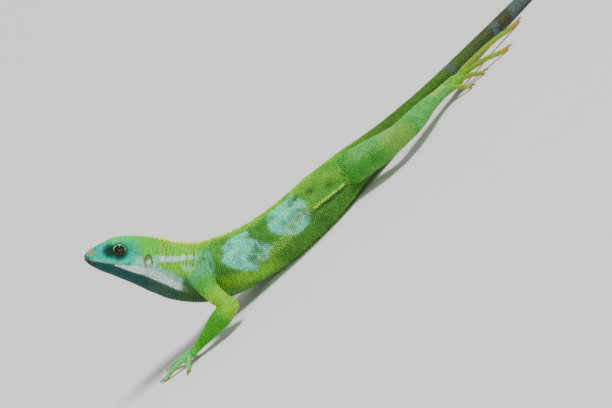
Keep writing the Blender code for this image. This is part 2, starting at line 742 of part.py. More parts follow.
def limb_parts(trunk):
    """The four limbs, each in an upper part, a lower part and a hand or foot."""
    made = []
    plans = [
        ("upper_arm_l", "forearm_l", "hand_l", LEFT_ARM, LEFT_FINGERS, SHOULDERS),
        ("upper_arm_r", "forearm_r", "hand_r", RIGHT_ARM, RIGHT_FINGERS, SHOULDERS),
        ("thigh_l", "shank_l", "foot_l", LEFT_LEG, LEFT_TOES, HIPS),
        ("thigh_r", "shank_r", "foot_r", RIGHT_LEG, RIGHT_TOES, HIPS),
    ]
    for *names, stations, digits, root in plans:
        limb = Limb(stations)
        cutters = [slice_across(limb, limb.keys[JOINT]), slice_across(limb, limb.keys[WRIST])]
        cutters.append(grown_trunk(trunk, *root, ROOT_STEP))
        whole = combined(whole_limb(limb, digits), cutters, "DIFFERENCE")
        made += parted(whole, names, limb.points[0])
    return made


def parted(obj, names, start):
    """The largest bodies of a mesh as objects of their own, named in order from a starting point."""
    groups = bodies(obj)[: len(names)]
    points = np.array([vert.co for vert in obj.data.vertices]) / MM
    groups.sort(key=lambda group: np.linalg.norm(points[group].mean(axis=0) - start))
    made = []
    for name, group in zip(names, groups):
        piece = bpy.data.objects.new(name, obj.data.copy())
        bpy.context.scene.collection.objects.link(piece)
        made.append(only(piece, group))
    bpy.data.objects.remove(obj)
    return made


def painted(obj, kind):
    """Gives the object its own material."""
    colour, rough = GREENS[kind]
    material = bpy.data.materials.new(obj.name)
    material.use_nodes = True
    shader = material.node_tree.nodes["Principled BSDF"]
    shader.inputs["Base Color"].default_value = colour
    shader.inputs["Roughness"].default_value = rough
    obj.data.materials.clear()
    obj.data.materials.append(material)
    obj.data.shade_smooth()
    obj.data.set_sharp_from_angle(angle=math.radians(SHARP))
    return obj


def build():
    for obj in list(bpy.data.objects):
        bpy.data.objects.remove(obj)
    trunk = Trunk(BODY)
    for part in head_parts(trunk):
        painted(part, "head" if part.name == "head" else "throat")
    for part in head_insets(trunk):
        painted(part, part.name.split("_")[0])
    painted(trunk_part("neck", trunk, NECK_AT, CHEST_AT, TRUNK_STEP, TRUNK_SIDES), "body")
    painted(trunk_part("chest", trunk, CHEST_AT, BELLY_AT, TRUNK_STEP, TRUNK_SIDES), "body")
    painted(trunk_part("belly", trunk, BELLY_AT, PELVIS_AT, TRUNK_STEP, TRUNK_SIDES), "body")
    painted(trunk_part("pelvis", trunk, PELVIS_AT, TAIL_AT, TRUNK_STEP, TRUNK_SIDES), "body")
    cuts = np.linspace(TAIL_AT, trunk.length, TAIL_PARTS + 1)
    for k in range(TAIL_PARTS):
        name = f"tail_{k + 1}"
        painted(trunk_part(name, trunk, cuts[k], cuts[k + 1], TAIL_STEP, TAIL_SIDES), "tail")
    for part in limb_parts(trunk):
        painted(part, "body")


build()
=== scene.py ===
# %% [markdown]
# # A Fijian banded iguana, life size
# The animal lies still on its belly with its head raised, one hand forward and its long tail laid out.
# Its looks come from four things: one skin over the whole body, a coat of some tens of thousands of small
# solid scales, a few larger special scales round the mouth, eyes and ears, and separate eyes and claws.
# The shapes follow the same named sizes as the solids that carry them, so every piece sits in its place.

import json
import math

import bmesh
import bpy
import numpy as np
from mathutils import Matrix, Vector
from mathutils.bvhtree import BVHTree
from mathutils.kdtree import KDTree

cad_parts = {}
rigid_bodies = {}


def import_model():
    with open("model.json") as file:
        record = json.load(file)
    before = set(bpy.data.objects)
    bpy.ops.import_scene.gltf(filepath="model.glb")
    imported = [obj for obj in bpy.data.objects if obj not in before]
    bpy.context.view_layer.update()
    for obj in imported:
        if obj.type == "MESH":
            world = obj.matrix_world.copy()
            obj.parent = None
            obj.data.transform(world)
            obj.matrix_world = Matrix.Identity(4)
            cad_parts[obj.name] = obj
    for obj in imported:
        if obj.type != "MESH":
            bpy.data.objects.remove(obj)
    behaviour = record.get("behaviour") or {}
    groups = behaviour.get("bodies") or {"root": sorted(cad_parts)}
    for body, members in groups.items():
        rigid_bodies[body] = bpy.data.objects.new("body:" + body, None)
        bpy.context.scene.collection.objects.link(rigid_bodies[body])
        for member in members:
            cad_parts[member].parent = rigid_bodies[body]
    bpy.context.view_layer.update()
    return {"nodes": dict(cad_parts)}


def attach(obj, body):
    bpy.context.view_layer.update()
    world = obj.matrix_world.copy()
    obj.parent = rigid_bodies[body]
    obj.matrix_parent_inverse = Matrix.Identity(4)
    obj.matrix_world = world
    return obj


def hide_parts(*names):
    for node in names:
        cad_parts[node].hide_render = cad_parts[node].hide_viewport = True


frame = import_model()
MM = 0.001
print("nodes in the frame:", len(frame["nodes"]))

# %% [markdown]
# ## Camera
# The animal was photographed from its left side with a longish lens, a little from above, and with the
# camera turned so that the body runs up the picture. A lens of 100 mm about a metre away gives that calm,
# flat perspective. The turn is a roll of the camera about its own line of sight, so the ground stays level.

# %% Camera
ROLL = math.radians(43)
LOOK_DOWN = math.radians(13)
AIM = Vector((23.1, 0, 18.0)) * MM
CAMERA_AWAY = 0.991
LENS_MM = 100.0
SENSOR_MM = 36.0

sight = Vector((0, math.cos(LOOK_DOWN), -math.sin(LOOK_DOWN)))
level_up = Vector((0, math.sin(LOOK_DOWN), math.cos(LOOK_DOWN)))
level_right = Vector((1, 0, 0))
picture_right = math.cos(ROLL) * level_right - math.sin(ROLL) * level_up
picture_up = math.sin(ROLL) * level_right + math.cos(ROLL) * level_up

camera = bpy.data.objects.new("camera", bpy.data.cameras.new("camera"))
bpy.context.scene.collection.objects.link(camera)
camera.data.lens = LENS_MM
camera.data.sensor_width = SENSOR_MM
camera.data.clip_start = 0.05
camera.data.clip_end = 200
turned = Matrix((picture_right, picture_up, -sight)).transposed()
camera.matrix_world = Matrix.Translation(AIM - sight * CAMERA_AWAY) @ turned.to_4x4()
bpy.context.scene.camera = camera
print("camera height in mm:", round(camera.matrix_world.translation.z / MM))

# %% [markdown]
# ## Floor and light
# A plain pale floor carries the model. One soft sun stands where it was in the photograph, over the
# animal's back and a little towards the tail. It is made 18 degrees wide, as a big studio screen would be,
# so that shadows have soft edges and the floor is evenly lit. A weak wide lamp fills the shaded side, and
# the pale surroundings lift the rest.

# %% Colours from hex


def linear(hex_colour):
    """An sRGB colour such as 62A03E as the linear values that Blender's shaders take."""
    parts = [int(hex_colour[i : i + 2], 16) / 255 for i in (0, 2, 4)]
    return tuple(p / 12.92 if p <= 0.04045 else ((p + 0.055) / 1.055) ** 2.4 for p in parts)


def deselect():
    bpy.ops.object.select_all(action="DESELECT")


def plug(tree, made, **inputs):
    """Gives a node's sockets their values or links. A node stands for its own first output."""
    for name, value in inputs.items():
        by_number = name[0] == "i" and name[1:].isdigit()
        socket = made.inputs[int(name[1:])] if by_number else made.inputs[name.replace("_", " ")]
        if isinstance(value, bpy.types.Node):
            value = value.outputs[0]
        if isinstance(value, bpy.types.NodeSocket):
            tree.links.new(value, socket)
        else:
            socket.default_value = value


def node(tree, kind, settings=(), **inputs):
    """Adds a shader node with its settings, values and links. The stops of a ramp are a setting too."""
    made = tree.nodes.new(kind)
    for name, value in dict(settings).items():
        if name == "stops":
            first, *inner, last = value
            for element, (place, colour) in zip(made.color_ramp.elements, (first, last)):
                element.position = place
                element.color = (*linear(colour), 1)
            for place, colour in inner:
                made.color_ramp.elements.new(place).color = (*linear(colour), 1)
        else:
            setattr(made, name, value)
    plug(tree, made, **inputs)
    return made


def new_material(name):
    material = bpy.data.materials.new(name)
    material.use_nodes = True
    tree = material.node_tree
    shader = tree.nodes["Principled BSDF"]
    return material, tree, shader


# %% Floor
FLOOR_SIZE = 60.0

deselect()
bpy.ops.mesh.primitive_plane_add(size=FLOOR_SIZE, location=(0, 0, 0))
floor = bpy.context.active_object
floor.name = "floor"
floor_material, tree, shader = new_material("matt_painted_board")
where = node(tree, "ShaderNodeTexCoord").outputs["Object"]
soft = node(tree, "ShaderNodeTexNoise", Vector=where, Scale=9.0, Detail=3.0)
tones = node(tree, "ShaderNodeValToRGB", {"stops": [(0.0, "ECECE9"), (1.0, "F1F1EE")]}, Fac=soft)
plug(tree, shader, Base_Color=tones, Roughness=0.85, Specular_IOR_Level=0.25)
floor.data.materials.append(floor_material)

# %% Lamps
SUN_SIDE = {"place": (0.46, -0.22, 0.82), "strength": 3.6, "wide": math.radians(18)}
FILL_SIDE = {"place": (-0.62, -0.86, 0.30), "strength": 3.4, "wide": 0.55}
SURROUNDINGS = 0.42


def soft_lamp(kind, place, strength, wide):
    """A lamp that looks at the animal. A sun is as wide as an angle, an area lamp as its disc."""
    data = bpy.data.lights.new(kind.lower(), kind)
    data.energy = strength
    if kind == "SUN":
        data.angle = wide
    else:
        data.shape = "DISK"
        data.size = wide
    lamp = bpy.data.objects.new(data.name, data)
    bpy.context.scene.collection.objects.link(lamp)
    lamp.location = Vector(place)
    lamp.rotation_mode = "QUATERNION"
    lamp.rotation_quaternion = (AIM - Vector(place)).to_track_quat("-Z", "Y")


soft_lamp("SUN", **SUN_SIDE)
soft_lamp("AREA", **FILL_SIDE)
world = bpy.data.worlds.new("studio")
bpy.context.scene.world = world
world.use_nodes = True
world.node_tree.nodes["Background"].inputs["Color"].default_value = (*linear("F1F3F2"), 1)
world.node_tree.nodes["Background"].inputs["Strength"].default_value = SURROUNDINGS

# %% [markdown]
# ## The body's own measures
# These are the same lines and girths that the solid model was lofted from, in millimetres: a line through
# the body from snout to tail tip with an egg-shaped section, and one line for each limb and digit.
# A skin that starts from them lies exactly where the solids lie.

# %% Body line
BODY = [
    (-91.0, 0.0, 83.9, 1.3, 1.4, 1.6, 2.0, 2.0),
    (-90.2, 0.0, 83.3, 2.9, 2.8, 3.0, 2.1, 2.0),
    (-88.6, 0.0, 82.0, 4.3, 4.2, 4.9, 2.2, 2.0),
    (-84.8, 0.0, 78.8, 6.2, 7.0, 7.8, 2.3, 1.9),
    (-80.7, 0.0, 74.8, 8.1, 10.1, 9.9, 2.4, 1.8),
    (-76.9, 0.0, 71.0, 9.7, 11.7, 11.8, 2.4, 1.75),
    (-72.6, 0.0, 66.2, 11.2, 12.8, 13.8, 2.3, 1.65),
    (-66.5, 0.0, 58.8, 11.6, 13.3, 16.6, 2.1, 1.55),
    (-60.5, 0.0, 49.9, 10.4, 12.7, 18.8, 1.9, 1.55),
    (-54.4, 0.0, 40.9, 11.8, 13.1, 20.2, 1.85, 1.6),
    (-46.0, 0.0, 31.4, 14.6, 15.0, 20.0, 1.9, 1.75),
    (-34.0, 0.0, 23.8, 17.2, 16.6, 18.7, 2.0, 2.0),
    (-16.8, 0.0, 17.9, 18.6, 16.3, 16.8, 2.0, 2.2),
    (3.9, 0.0, 14.4, 19.2, 16.3, 16.3, 2.0, 2.3),
    (29.7, 1.0, 13.6, 17.6, 15.6, 15.2, 2.0, 2.2),
    (58.7, 7.0, 13.0, 12.6, 12.6, 11.2, 2.0, 2.1),
    (74.0, 11.6, 12.3, 9.8, 9.9, 9.3, 2.0, 2.0),
    (89.6, 17.5, 11.2, 7.7, 7.9, 7.6, 2.0, 2.0),
    (130.7, 34.2, 8.7, 5.0, 5.0, 4.8, 2.0, 2.0),
    (165.0, 48.2, 6.4, 4.5, 4.5, 4.4, 2.0, 2.0),
    (197.0, 60.6, 4.7, 4.1, 4.1, 4.1, 2.0, 2.0),
    (240.0, 73.6, 3.4, 3.6, 3.6, 3.6, 2.0, 2.0),
    (290.0, 81.4, 2.8, 3.0, 3.0, 3.0, 2.0, 2.0),
    (345.0, 78.6, 2.2, 2.4, 2.4, 2.4, 2.0, 2.0),
    (400.0, 63.6, 1.65, 1.8, 1.8, 1.8, 2.0, 2.0),
    (445.0, 48.6, 1.15, 1.25, 1.25, 1.25, 2.0, 2.0),
    (470.0, 41.6, 0.65, 0.65, 0.65, 0.65, 2.0, 2.0),
]
HEAD_FORMS = [
    (16.5, 9.0, 5.8, 3.2, 0.7),
    (22.5, 9.4, 6.6, 3.4, 0.6),
    (12.0, 4.6, 6.5, 3.2, -0.8),
    (29.0, -1.5, 11.0, 6.0, 1.0),
    (27.5, 6.0, 9.5, 4.0, -0.4),
]
MOUTH = [(-4.0, 0.5), (0.0, -0.3), (4.2, -1.7), (9.8, -2.6), (15.7, -2.8), (21.5, -2.3), (25.0, -1.5)]
MOUTH_CORNER = 25.0
EYE = {"back": 19.7, "up": 5.9, "out": 6.5, "radius": 3.6, "turned_ahead": 0.16, "turned_up": 0.10}
NOSTRIL = {"back": 3.9, "up": 2.9, "out": 3.2, "hole": 0.6, "turned_ahead": 0.35, "turned_up": 0.45}
EAR = {"back": 35.6, "up": 1.2, "lean": 0.25}
CREST = [(36.0, 1.3, 2.2), (43.0, 2.0, 2.3), (60.0, 1.9, 2.3)]
CREST += [(80.0, 1.4, 2.2), (100.0, 1.1, 2.2), (205.0, 0.7, 2.6)]
HEAD_END = 40.0
NECK_END = 63.0
TAIL_START = 192.0

# %% Limb lines
LIMBS = {
    "arm_l": [
        (-50.0, -3.0, 34.4, 7.0, 6.8),
        (-49.6, -12.0, 31.2, 6.8, 6.4),
        (-50.4, -19.6, 26.0, 5.7, 5.6),
        (-49.8, -26.0, 19.6, 5.1, 5.1),
        (-47.0, -30.4, 11.6, 5.3, 5.2),
        (-53.6, -30.0, 10.4, 6.2, 6.0),
        (-60.4, -28.6, 9.4, 5.5, 5.2),
        (-69.0, -26.2, 7.3, 4.1, 3.8),
        (-75.8, -24.0, 5.8, 3.1, 2.7),
        (-80.6, -22.0, 4.9, 4.2, 2.4),
        (-86.4, -19.4, 3.7, 3.9, 2.0),
        (-89.6, -18.0, 2.8, 2.2, 1.3),
    ],
    "arm_r": [
        (-55.0, 3.0, 35.0, 7.4, 7.2),
        (-52.6, 12.0, 32.0, 7.0, 6.6),
        (-44.0, 19.0, 28.6, 5.7, 5.6),
        (-34.4, 25.6, 24.0, 5.1, 5.1),
        (-25.8, 31.8, 18.4, 5.2, 5.1),
        (-28.2, 37.4, 14.8, 5.8, 5.6),
        (-31.4, 42.6, 11.0, 5.5, 5.2),
        (-35.2, 48.6, 7.2, 4.1, 3.8),
        (-38.2, 52.8, 5.2, 3.1, 2.7),
        (-40.6, 56.9, 4.2, 4.2, 2.4),
        (-43.4, 61.8, 3.3, 3.9, 2.0),
        (-44.8, 64.6, 2.6, 2.2, 1.3),
    ],
    "leg_l": [
        (50.0, 3.0, 16.0, 9.0, 9.0),
        (59.0, -3.5, 15.8, 9.4, 9.6),
        (69.0, -10.5, 15.4, 8.8, 9.2),
        (79.0, -16.5, 15.0, 7.6, 8.2),
        (87.5, -18.4, 14.4, 6.6, 7.2),
        (96.0, -14.6, 13.4, 6.4, 6.8),
        (105.0, -8.0, 12.4, 5.9, 6.2),
        (115.0, 0.8, 11.2, 4.5, 4.8),
        (123.6, 7.6, 9.8, 3.5, 3.6),
        (130.0, 11.6, 8.4, 4.6, 3.8),
        (137.6, 15.4, 7.0, 5.0, 3.9),
        (142.6, 17.6, 6.0, 3.4, 2.6),
    ],
    "leg_r": [
        (50.0, 9.0, 14.0, 9.0, 8.6),
        (58.0, 16.5, 12.8, 9.2, 8.4),
        (66.5, 24.2, 10.6, 8.4, 7.4),
        (74.0, 30.4, 8.8, 7.0, 6.3),
        (81.5, 35.6, 7.8, 6.2, 5.8),
        (88.5, 40.6, 7.2, 6.0, 5.6),
        (96.0, 45.8, 6.6, 5.4, 5.0),
        (104.0, 50.8, 6.0, 4.1, 4.0),
        (111.0, 54.6, 5.4, 3.4, 3.2),
        (117.4, 57.2, 4.8, 4.6, 2.7),
        (125.0, 59.8, 3.9, 5.0, 2.4),
        (130.0, 61.2, 3.1, 3.4, 1.7),
    ],
}
DIGITS = {
    "arm_l": [
        (-80.8, -18.4, 4.6, -82.6, -9.4, 1.25),
        (-84.6, -17.0, 4.4, -91.4, -2.6, 1.35),
        (-87.2, -17.8, 4.1, -101.6, 0.4, 1.45),
        (-87.6, -20.0, 3.9, -106.8, -9.6, 1.45),
        (-85.0, -23.0, 3.8, -90.2, -33.4, 1.3),
    ],
    "arm_r": [
        (-43.8, 55.4, 3.9, -51.4, 52.2, 1.25),
        (-46.2, 58.8, 3.8, -58.6, 62.4, 1.35),
        (-45.6, 62.4, 3.6, -60.2, 76.2, 1.45),
        (-43.6, 63.4, 3.5, -50.0, 84.0, 1.45),
        (-40.4, 61.6, 3.4, -34.6, 72.2, 1.3),
    ],
    "leg_l": [
        (132.4, 9.2, 6.4, 141.0, 2.8, 1.45),
        (138.4, 12.4, 6.2, 153.0, 7.6, 1.55),
        (141.2, 15.2, 6.8, 173.4, 10.8, 1.6),
        (141.6, 18.2, 7.4, 194.0, 43.0, 1.6),
        (131.6, 15.6, 7.0, 139.2, 24.8, 1.4),
    ],
    "leg_r": [
        (121.0, 62.4, 3.8, 128.4, 69.8, 1.45),
        (126.0, 63.2, 3.7, 140.0, 72.4, 1.55),
        (129.2, 61.8, 3.5, 159.0, 73.6, 1.6),
        (129.6, 59.6, 3.4, 177.0, 71.6, 1.6),
        (120.4, 54.4, 3.7, 131.0, 48.8, 1.4),
    ],
}
JOINT = 4
BEND = 1.4
DIGIT_SHAPE = [
    (-2.4, 0.0, 0.0, 1.0),
    (0.0, 0.3, 0.0, 1.05),
    (0.3, 0.3, 0.1, 1.0),
    (0.6, 0.2, 0.4, 0.94),
    (0.85, 0.0, 0.85, 0.9),
    (1.0, 0.0, 1.0, 0.8),
]
PAD = 0.78
CLAW_SHAPE = [(-0.35, 0.02, 1.0), (0.05, 0.14, 1.0), (0.45, 0.16, 0.78)]
CLAW_SHAPE += [(0.8, -0.02, 0.45), (1.0, -0.24, 0.2)]
CLAW = {"length": 3.4, "half_depth": 0.72, "half_width": 0.5}
print("limbs:", list(LIMBS), "digits:", sum(len(d) for d in DIGITS.values()))

# %% [markdown]
# ## Curves and tubes
# Every part of the body is a tube: a smooth line, and a section whose size changes along it. The curve
# through the listed values is a cubic with matched slopes. Each tube can say where its surface is, and
# for any point in space how far outside it that point is and which place on the tube it belongs to. The
# markings, the scales and the folds all use that.

# %% Smooth curves


def slopes(keys, values, limited):
    """The slope at each key of a smooth curve. A limited one never overshoots its values."""
    steps = np.diff(keys)[:, None]
    rates = np.diff(values, axis=0) / steps
    before, after = rates[:-1], rates[1:]
    inner = (steps[1:] * before + steps[:-1] * after) / (steps[1:] + steps[:-1])
    if limited:
        same_way = before * after > 0
        mean = 2 * before * after / np.where(same_way, before + after, 1.0)
        inner = np.where(same_way, mean, 0.0)
    return np.vstack([rates[:1], inner, rates[-1:]])


def through(keys, values, at, limited=False):
    """The curve's values and slopes at each distance. It runs straight on past its ends."""
    keys = np.asarray(keys, float)
    values = np.asarray(values, float).reshape(len(keys), -1)
    at = np.atleast_1d(np.asarray(at, float))
    slope = slopes(keys, values, limited)
    i = np.clip(np.searchsorted(keys, at) - 1, 0, len(keys) - 2)
    width = (keys[i + 1] - keys[i])[:, None]
    inside = np.clip(at, keys[0], keys[-1])[:, None]
    t = (inside - keys[i][:, None]) / width
    here = (2 * t**3 - 3 * t**2 + 1) * values[i] + (t**3 - 2 * t**2 + t) * width * slope[i]
    here += (3 * t**2 - 2 * t**3) * values[i + 1] + (t**3 - t**2) * width * slope[i + 1]
    rate = (6 * t**2 - 6 * t) * (values[i] - values[i + 1]) / width
    rate += (3 * t**2 - 4 * t + 1) * slope[i] + (3 * t**2 - 2 * t) * slope[i + 1]
    return here + rate * (at[:, None] - inside), rate


def unit(v):
    return v / np.linalg.norm(v, axis=-1, keepdims=True)


def arc_lengths(points):
    """How far along a line of points each one is."""
    return np.concatenate([[0.0], np.cumsum(np.linalg.norm(np.diff(points, axis=0), axis=1))])


def tree_of(points):
    """A search tree of points."""
    tree = KDTree(len(points))
    for i, point in enumerate(points):
        tree.insert(point, i)
    tree.balance()
    return tree


def spaced(start, end, step):
    return np.linspace(start, end, max(2, round(abs(end - start) / step) + 1))


def rise(x, start, end):
    """Goes smoothly from 0 at the start to 1 at the end."""
    t = np.clip((x - start) / (end - start), 0, 1)
    return t * t * (3 - 2 * t)


def within(x, start, end, soft):
    """1 between start and end, falling smoothly to 0 over the soft edge outside them."""
    return rise(x, start - soft, start) * (1 - rise(x, end, end + soft))


# %% Tubes
UP = np.array((0.0, 0.0, 1.0))
SAMPLE = 0.5
TUBE_REACH = 8.0


class Tube:
    """A line with a section. Angle 0 is its right side and 90 degrees its upper side."""

    def __init__(self, name, rows):
        rows = np.array(rows, float)
        self.name = name
        self.points, self.sizes = rows[:, :3], rows[:, 3:]
        self.keys = arc_lengths(self.points)
        self.length = self.keys[-1]
        self.places = spaced(0.0, self.length, SAMPLE)
        self.centre, rate = through(self.keys, self.points, self.places)
        self.along = unit(rate)
        self.set_axes()
        self.tree = tree_of(self.centre)
        reach = self.sizes.max() + TUBE_REACH
        self.low, self.high = self.centre.min(0) - reach, self.centre.max(0) + reach

    def set_axes(self):
        """Sideways axes carried along the line without twisting."""
        side = np.cross(UP, self.along[0])
        found = []
        for way in self.along:
            side = unit(side - way * (side @ way))
            found.append(side)
        self.right = np.array(found)
        self.up = np.cross(self.along, self.right)

    def axes(self, at):
        """The line's point, its direction, and its right and upper side at each distance."""
        share = np.clip(np.atleast_1d(at) / self.length, 0, 1) * (len(self.places) - 1)
        i = np.minimum(share.astype(int), len(self.places) - 2)
        t = (share - i)[:, None]
        mixed = [values[i] * (1 - t) + values[i + 1] * t for values in (self.along, self.right, self.up)]
        return [through(self.keys, self.points, at)[0]] + [unit(m) for m in mixed]

    def radius(self, at, angle):
        """How far the surface is from the line. Thickness is measured upwards."""
        width, thick = through(self.keys, self.sizes, at, limited=True)[0].T
        _, along, right, up = self.axes(at)
        flat = unit(UP - along * along[:, 2:])
        way = right * np.cos(angle)[:, None] + up * np.sin(angle)[:, None]
        share = (way * flat).sum(1) ** 2
        return 1 / np.sqrt(share / thick**2 + (1 - share) / width**2)

    def surface(self, at, angle, grow=0.0):
        """Points on the surface, and the directions away from the line there."""
        at, angle = np.broadcast_arrays(np.atleast_1d(np.asarray(at, float)), np.asarray(angle, float))
        centre, _, right, up = self.axes(at)
        way = right * np.cos(angle)[:, None] + up * np.sin(angle)[:, None]
        return centre + way * (self.radius(at, angle) + grow)[:, None], way

    def locate(self, points):
        """For each point: distance along, angle, and how far outside the surface it is."""
        nearest = np.array([self.tree.find(p)[1] for p in points])
        offset = points - self.centre[nearest]
        at = self.places[nearest] + (offset * self.along[nearest]).sum(1)
        sideways = (offset * self.right[nearest]).sum(1)
        upwards = (offset * self.up[nearest]).sum(1)
        angle = np.arctan2(upwards, sideways)
        away = np.hypot(sideways, upwards)
        beyond = np.maximum(np.maximum(-at, at - self.length), 0.0)
        outside = np.hypot(away, beyond) - self.radius(np.clip(at, 0, self.length), angle)
        return at, angle, outside


# %% The body's own tube


class BodyTube(Tube):
    """The body: its section has a rise and a drop, and the head has swellings and hollows."""

    def set_axes(self):
        self.right = unit(np.cross(UP, self.along))
        self.up = np.cross(self.along, self.right)

    def radius(self, at, angle):
        width, rise_by, drop, upper, lower = through(self.keys, self.sizes, at, limited=True)[0].T
        high = np.sin(angle) >= 0
        power, height = np.where(high, upper, lower), np.where(high, rise_by, drop)
        across = np.abs(np.cos(angle)) / width
        upwards = np.abs(np.sin(angle)) / height
        return (across**power + upwards**power) ** (-1 / power)

    def surface(self, at, angle, grow=0.0):
        points, way = super().surface(at, angle, grow)
        at = np.broadcast_to(np.atleast_1d(np.asarray(at, float)), (len(points),))
        lifted = points + way * head_lift(self, points)[:, None]
        return np.where((at < NECK_END)[:, None], lifted, points), way

    def place(self, at, out, up):
        """A point at a distance from the snout, so far out to the right and so far up."""
        centre, _, right, back = self.axes(at)
        return (centre + right * out + back * up)[0]

    def skin_out(self, at, up):
        """How far to the side the skin is at a height above or below the line."""
        width, rise_by, drop, upper, lower = through(self.keys, self.sizes, at, limited=True)[0][0]
        power, height = (upper, rise_by) if up >= 0 else (lower, drop)
        return width * max(0.0, 1 - min(1.0, abs(up) / height) ** power) ** (1 / power)


def angle_from_back(angle):
    """Degrees down from the middle of the back, the same on both sides."""
    return np.abs((np.degrees(angle) - 90 + 180) % 360 - 180)


def head_lift(body, points):
    """How far the head's swellings and hollows move the skin at each point."""
    lift = np.zeros(len(points))
    for back, up, out, reach, height in HEAD_FORMS:
        for side in (-1, 1):
            spot = body.place(back, side * out, up)
            lift += height * np.exp(-((np.linalg.norm(points - spot, axis=1) / reach) ** 2))
    return lift


# %% Lines of the digits


def digit_rows(x, y, z, end_x, end_y, half):
    """A digit's line and girth: it arches from the knuckle down to its pad on the ground."""
    start = np.array((x, y, z))
    way = np.array((end_x - x, end_y - y, 0.0))
    length = np.linalg.norm(way)
    way /= length
    rows = []
    for share, bow, fall, thick in DIGIT_SHAPE:
        point = start + way * (share if share < 0 else share * length)
        rows.append((point[0], point[1], z + bow - fall * (z - half * PAD), half * thick, half * thick))
    return rows, way


# %% All the tubes
body = BodyTube("body", BODY)
limbs = {name: Tube(name, rows) for name, rows in LIMBS.items()}
digits = {}
digit_ways = {}
for name, rows in DIGITS.items():
    for number, row in enumerate(rows, 1):
        line, way = digit_rows(*row)
        digits[f"{name}_{number}"] = Tube(f"{name}_{number}", line)
        digit_ways[f"{name}_{number}"] = way
tubes = [body, *limbs.values(), *digits.values()]
print("tubes:", len(tubes), "and the body's line is", round(body.length), "mm long")

# %% [markdown]
# ## The skin
# A lizard's skin runs without a seam over head, body, limbs and toes. Modelled by hand it would be one
# sculpted surface. Here every tube becomes a closed loft, the lofts are laid into one mesh, and a voxel
# remesh melts them into a single surface. Smoothing then rounds the places where the limbs grow from the
# body, and folds are raised along chosen lines. The skin lies a little inside the solids, by the
# thickness of the scales that cover it.

# %% Lofts for the skin
SKIN_IN = 0.28
BODY_SIDES = 72
LIMB_SIDES = 32
DIGIT_SIDES = 16
VOXEL = 0.42
BALL = 0.89
POLE = 0.04


def ring_faces(rings, sides):
    """Quads between rings of points, with a cap at each end."""
    i = np.arange(sides)
    j = (i + 1) % sides
    last = (rings - 1) * sides
    faces = []
    for a in range(0, last, sides):
        faces += np.stack([a + i, a + j, a + sides + j, a + sides + i], axis=1).tolist()
    faces.append(list(range(sides - 1, -1, -1)))
    faces.append(list(range(last, last + sides)))
    return faces


def loft(tube, places, sides, grow):
    """Points and faces of a closed loft along a tube."""
    turn = 2 * math.pi * (np.arange(sides) + 0.5) / sides
    points, _ = tube.surface(np.repeat(places, sides), np.tile(turn, len(places)), grow)
    return points, ring_faces(len(places), sides)


def limb_places(tube, step):
    """Distances along a limb that skip the inside of its elbow or knee."""
    joint = tube.keys[JOINT]
    bend = tube.sizes[JOINT][0] * BEND
    upper = np.append(spaced(0.0, joint - bend, step), joint)
    return np.append(upper, spaced(joint + bend, tube.length, step))


def ball(centre, axes, radii, segments=32, rings=20):
    """Points and faces of an ellipsoid with its own axes."""
    polar = np.repeat(np.linspace(POLE, math.pi - POLE, rings), segments)
    turn = np.tile(2 * math.pi * np.arange(segments) / segments, rings)
    offset = np.stack([np.sin(polar) * np.cos(turn), np.sin(polar) * np.sin(turn), np.cos(polar)], axis=1)
    points = centre + (offset * np.array(radii)) @ np.array(axes)
    return points, ring_faces(rings, segments)


# %% Meshes from points and faces


def object_from(name, pieces):
    """One object from several lists of points and faces, with sizes turned from mm to metres."""
    points, faces = [], []
    count = 0
    for some_points, some_faces in pieces:
        points.append(some_points)
        faces += [[count + v for v in face] for face in some_faces]
        count += len(some_points)
    mesh = bpy.data.meshes.new(name)
    mesh.from_pydata((np.vstack(points) * MM).tolist(), [], faces)
    obj = bpy.data.objects.new(name, mesh)
    bpy.context.scene.collection.objects.link(obj)
    return obj


def outwards_faces(obj):
    """Turns all faces of a closed mesh outwards."""
    bm = bmesh.new()
    bm.from_mesh(obj.data)
    bmesh.ops.recalc_face_normals(bm, faces=bm.faces)
    bm.to_mesh(obj.data)
    bm.free()
    return obj


def apply_modifier(obj, name):
    deselect()
    bpy.context.view_layer.objects.active = obj
    obj.select_set(True)
    bpy.ops.object.modifier_apply(modifier=name)


# %% Eyes' places
LID = 0.75


def eye_axes(side):
    """An eye's centre and its axes: forwards, up along the head, and out of the head."""
    _, along, right, back = (a[0] for a in body.axes(EYE["back"]))
    centre = body.place(EYE["back"], side * EYE["out"], EYE["up"])
    outwards = unit(right * side - along * EYE["turned_ahead"] + back * EYE["turned_up"])
    forwards = unit(-along - outwards * (-along @ outwards))
    upwards = unit(back - outwards * (back @ outwards) - forwards * (back @ forwards))
    return centre, forwards, upwards, outwards


lid_balls = []
for side in (-1, 1):
    centre, *axes = eye_axes(side)
    lid_balls.append(ball(centre, axes, [EYE["radius"] + LID] * 3))
print("eye centres in mm:", [np.round(eye_axes(s)[0], 1).tolist() for s in (-1, 1)])

# %% One mesh from all the lofts
LIMB_STEP = 1.2
DIGIT_STEP = 0.8
DIGIT_IN = 0.1
body_places = np.concatenate([
    spaced(0.0, 4.0, 0.4),
    spaced(4.6, NECK_END, 0.8),
    spaced(NECK_END + 1.2, TAIL_START, 1.4),
    spaced(TAIL_START + 2.0, body.length, 2.0),
])
pieces = [loft(body, body_places, BODY_SIDES, -SKIN_IN)]
pieces += [loft(tube, limb_places(tube, LIMB_STEP), LIMB_SIDES, -SKIN_IN) for tube in limbs.values()]
for tube in digits.values():
    pieces.append(loft(tube, spaced(0.0, tube.length, DIGIT_STEP), DIGIT_SIDES, -DIGIT_IN))
for tube in limbs.values():
    pieces.append(ball(tube.points[JOINT], np.eye(3), [BALL * tube.sizes[JOINT].mean()] * 3))
skin = object_from("skin", pieces + lid_balls)
outwards_faces(skin)
melt = skin.modifiers.new("melt", "REMESH")
melt.mode = "VOXEL"
melt.voxel_size = VOXEL * MM
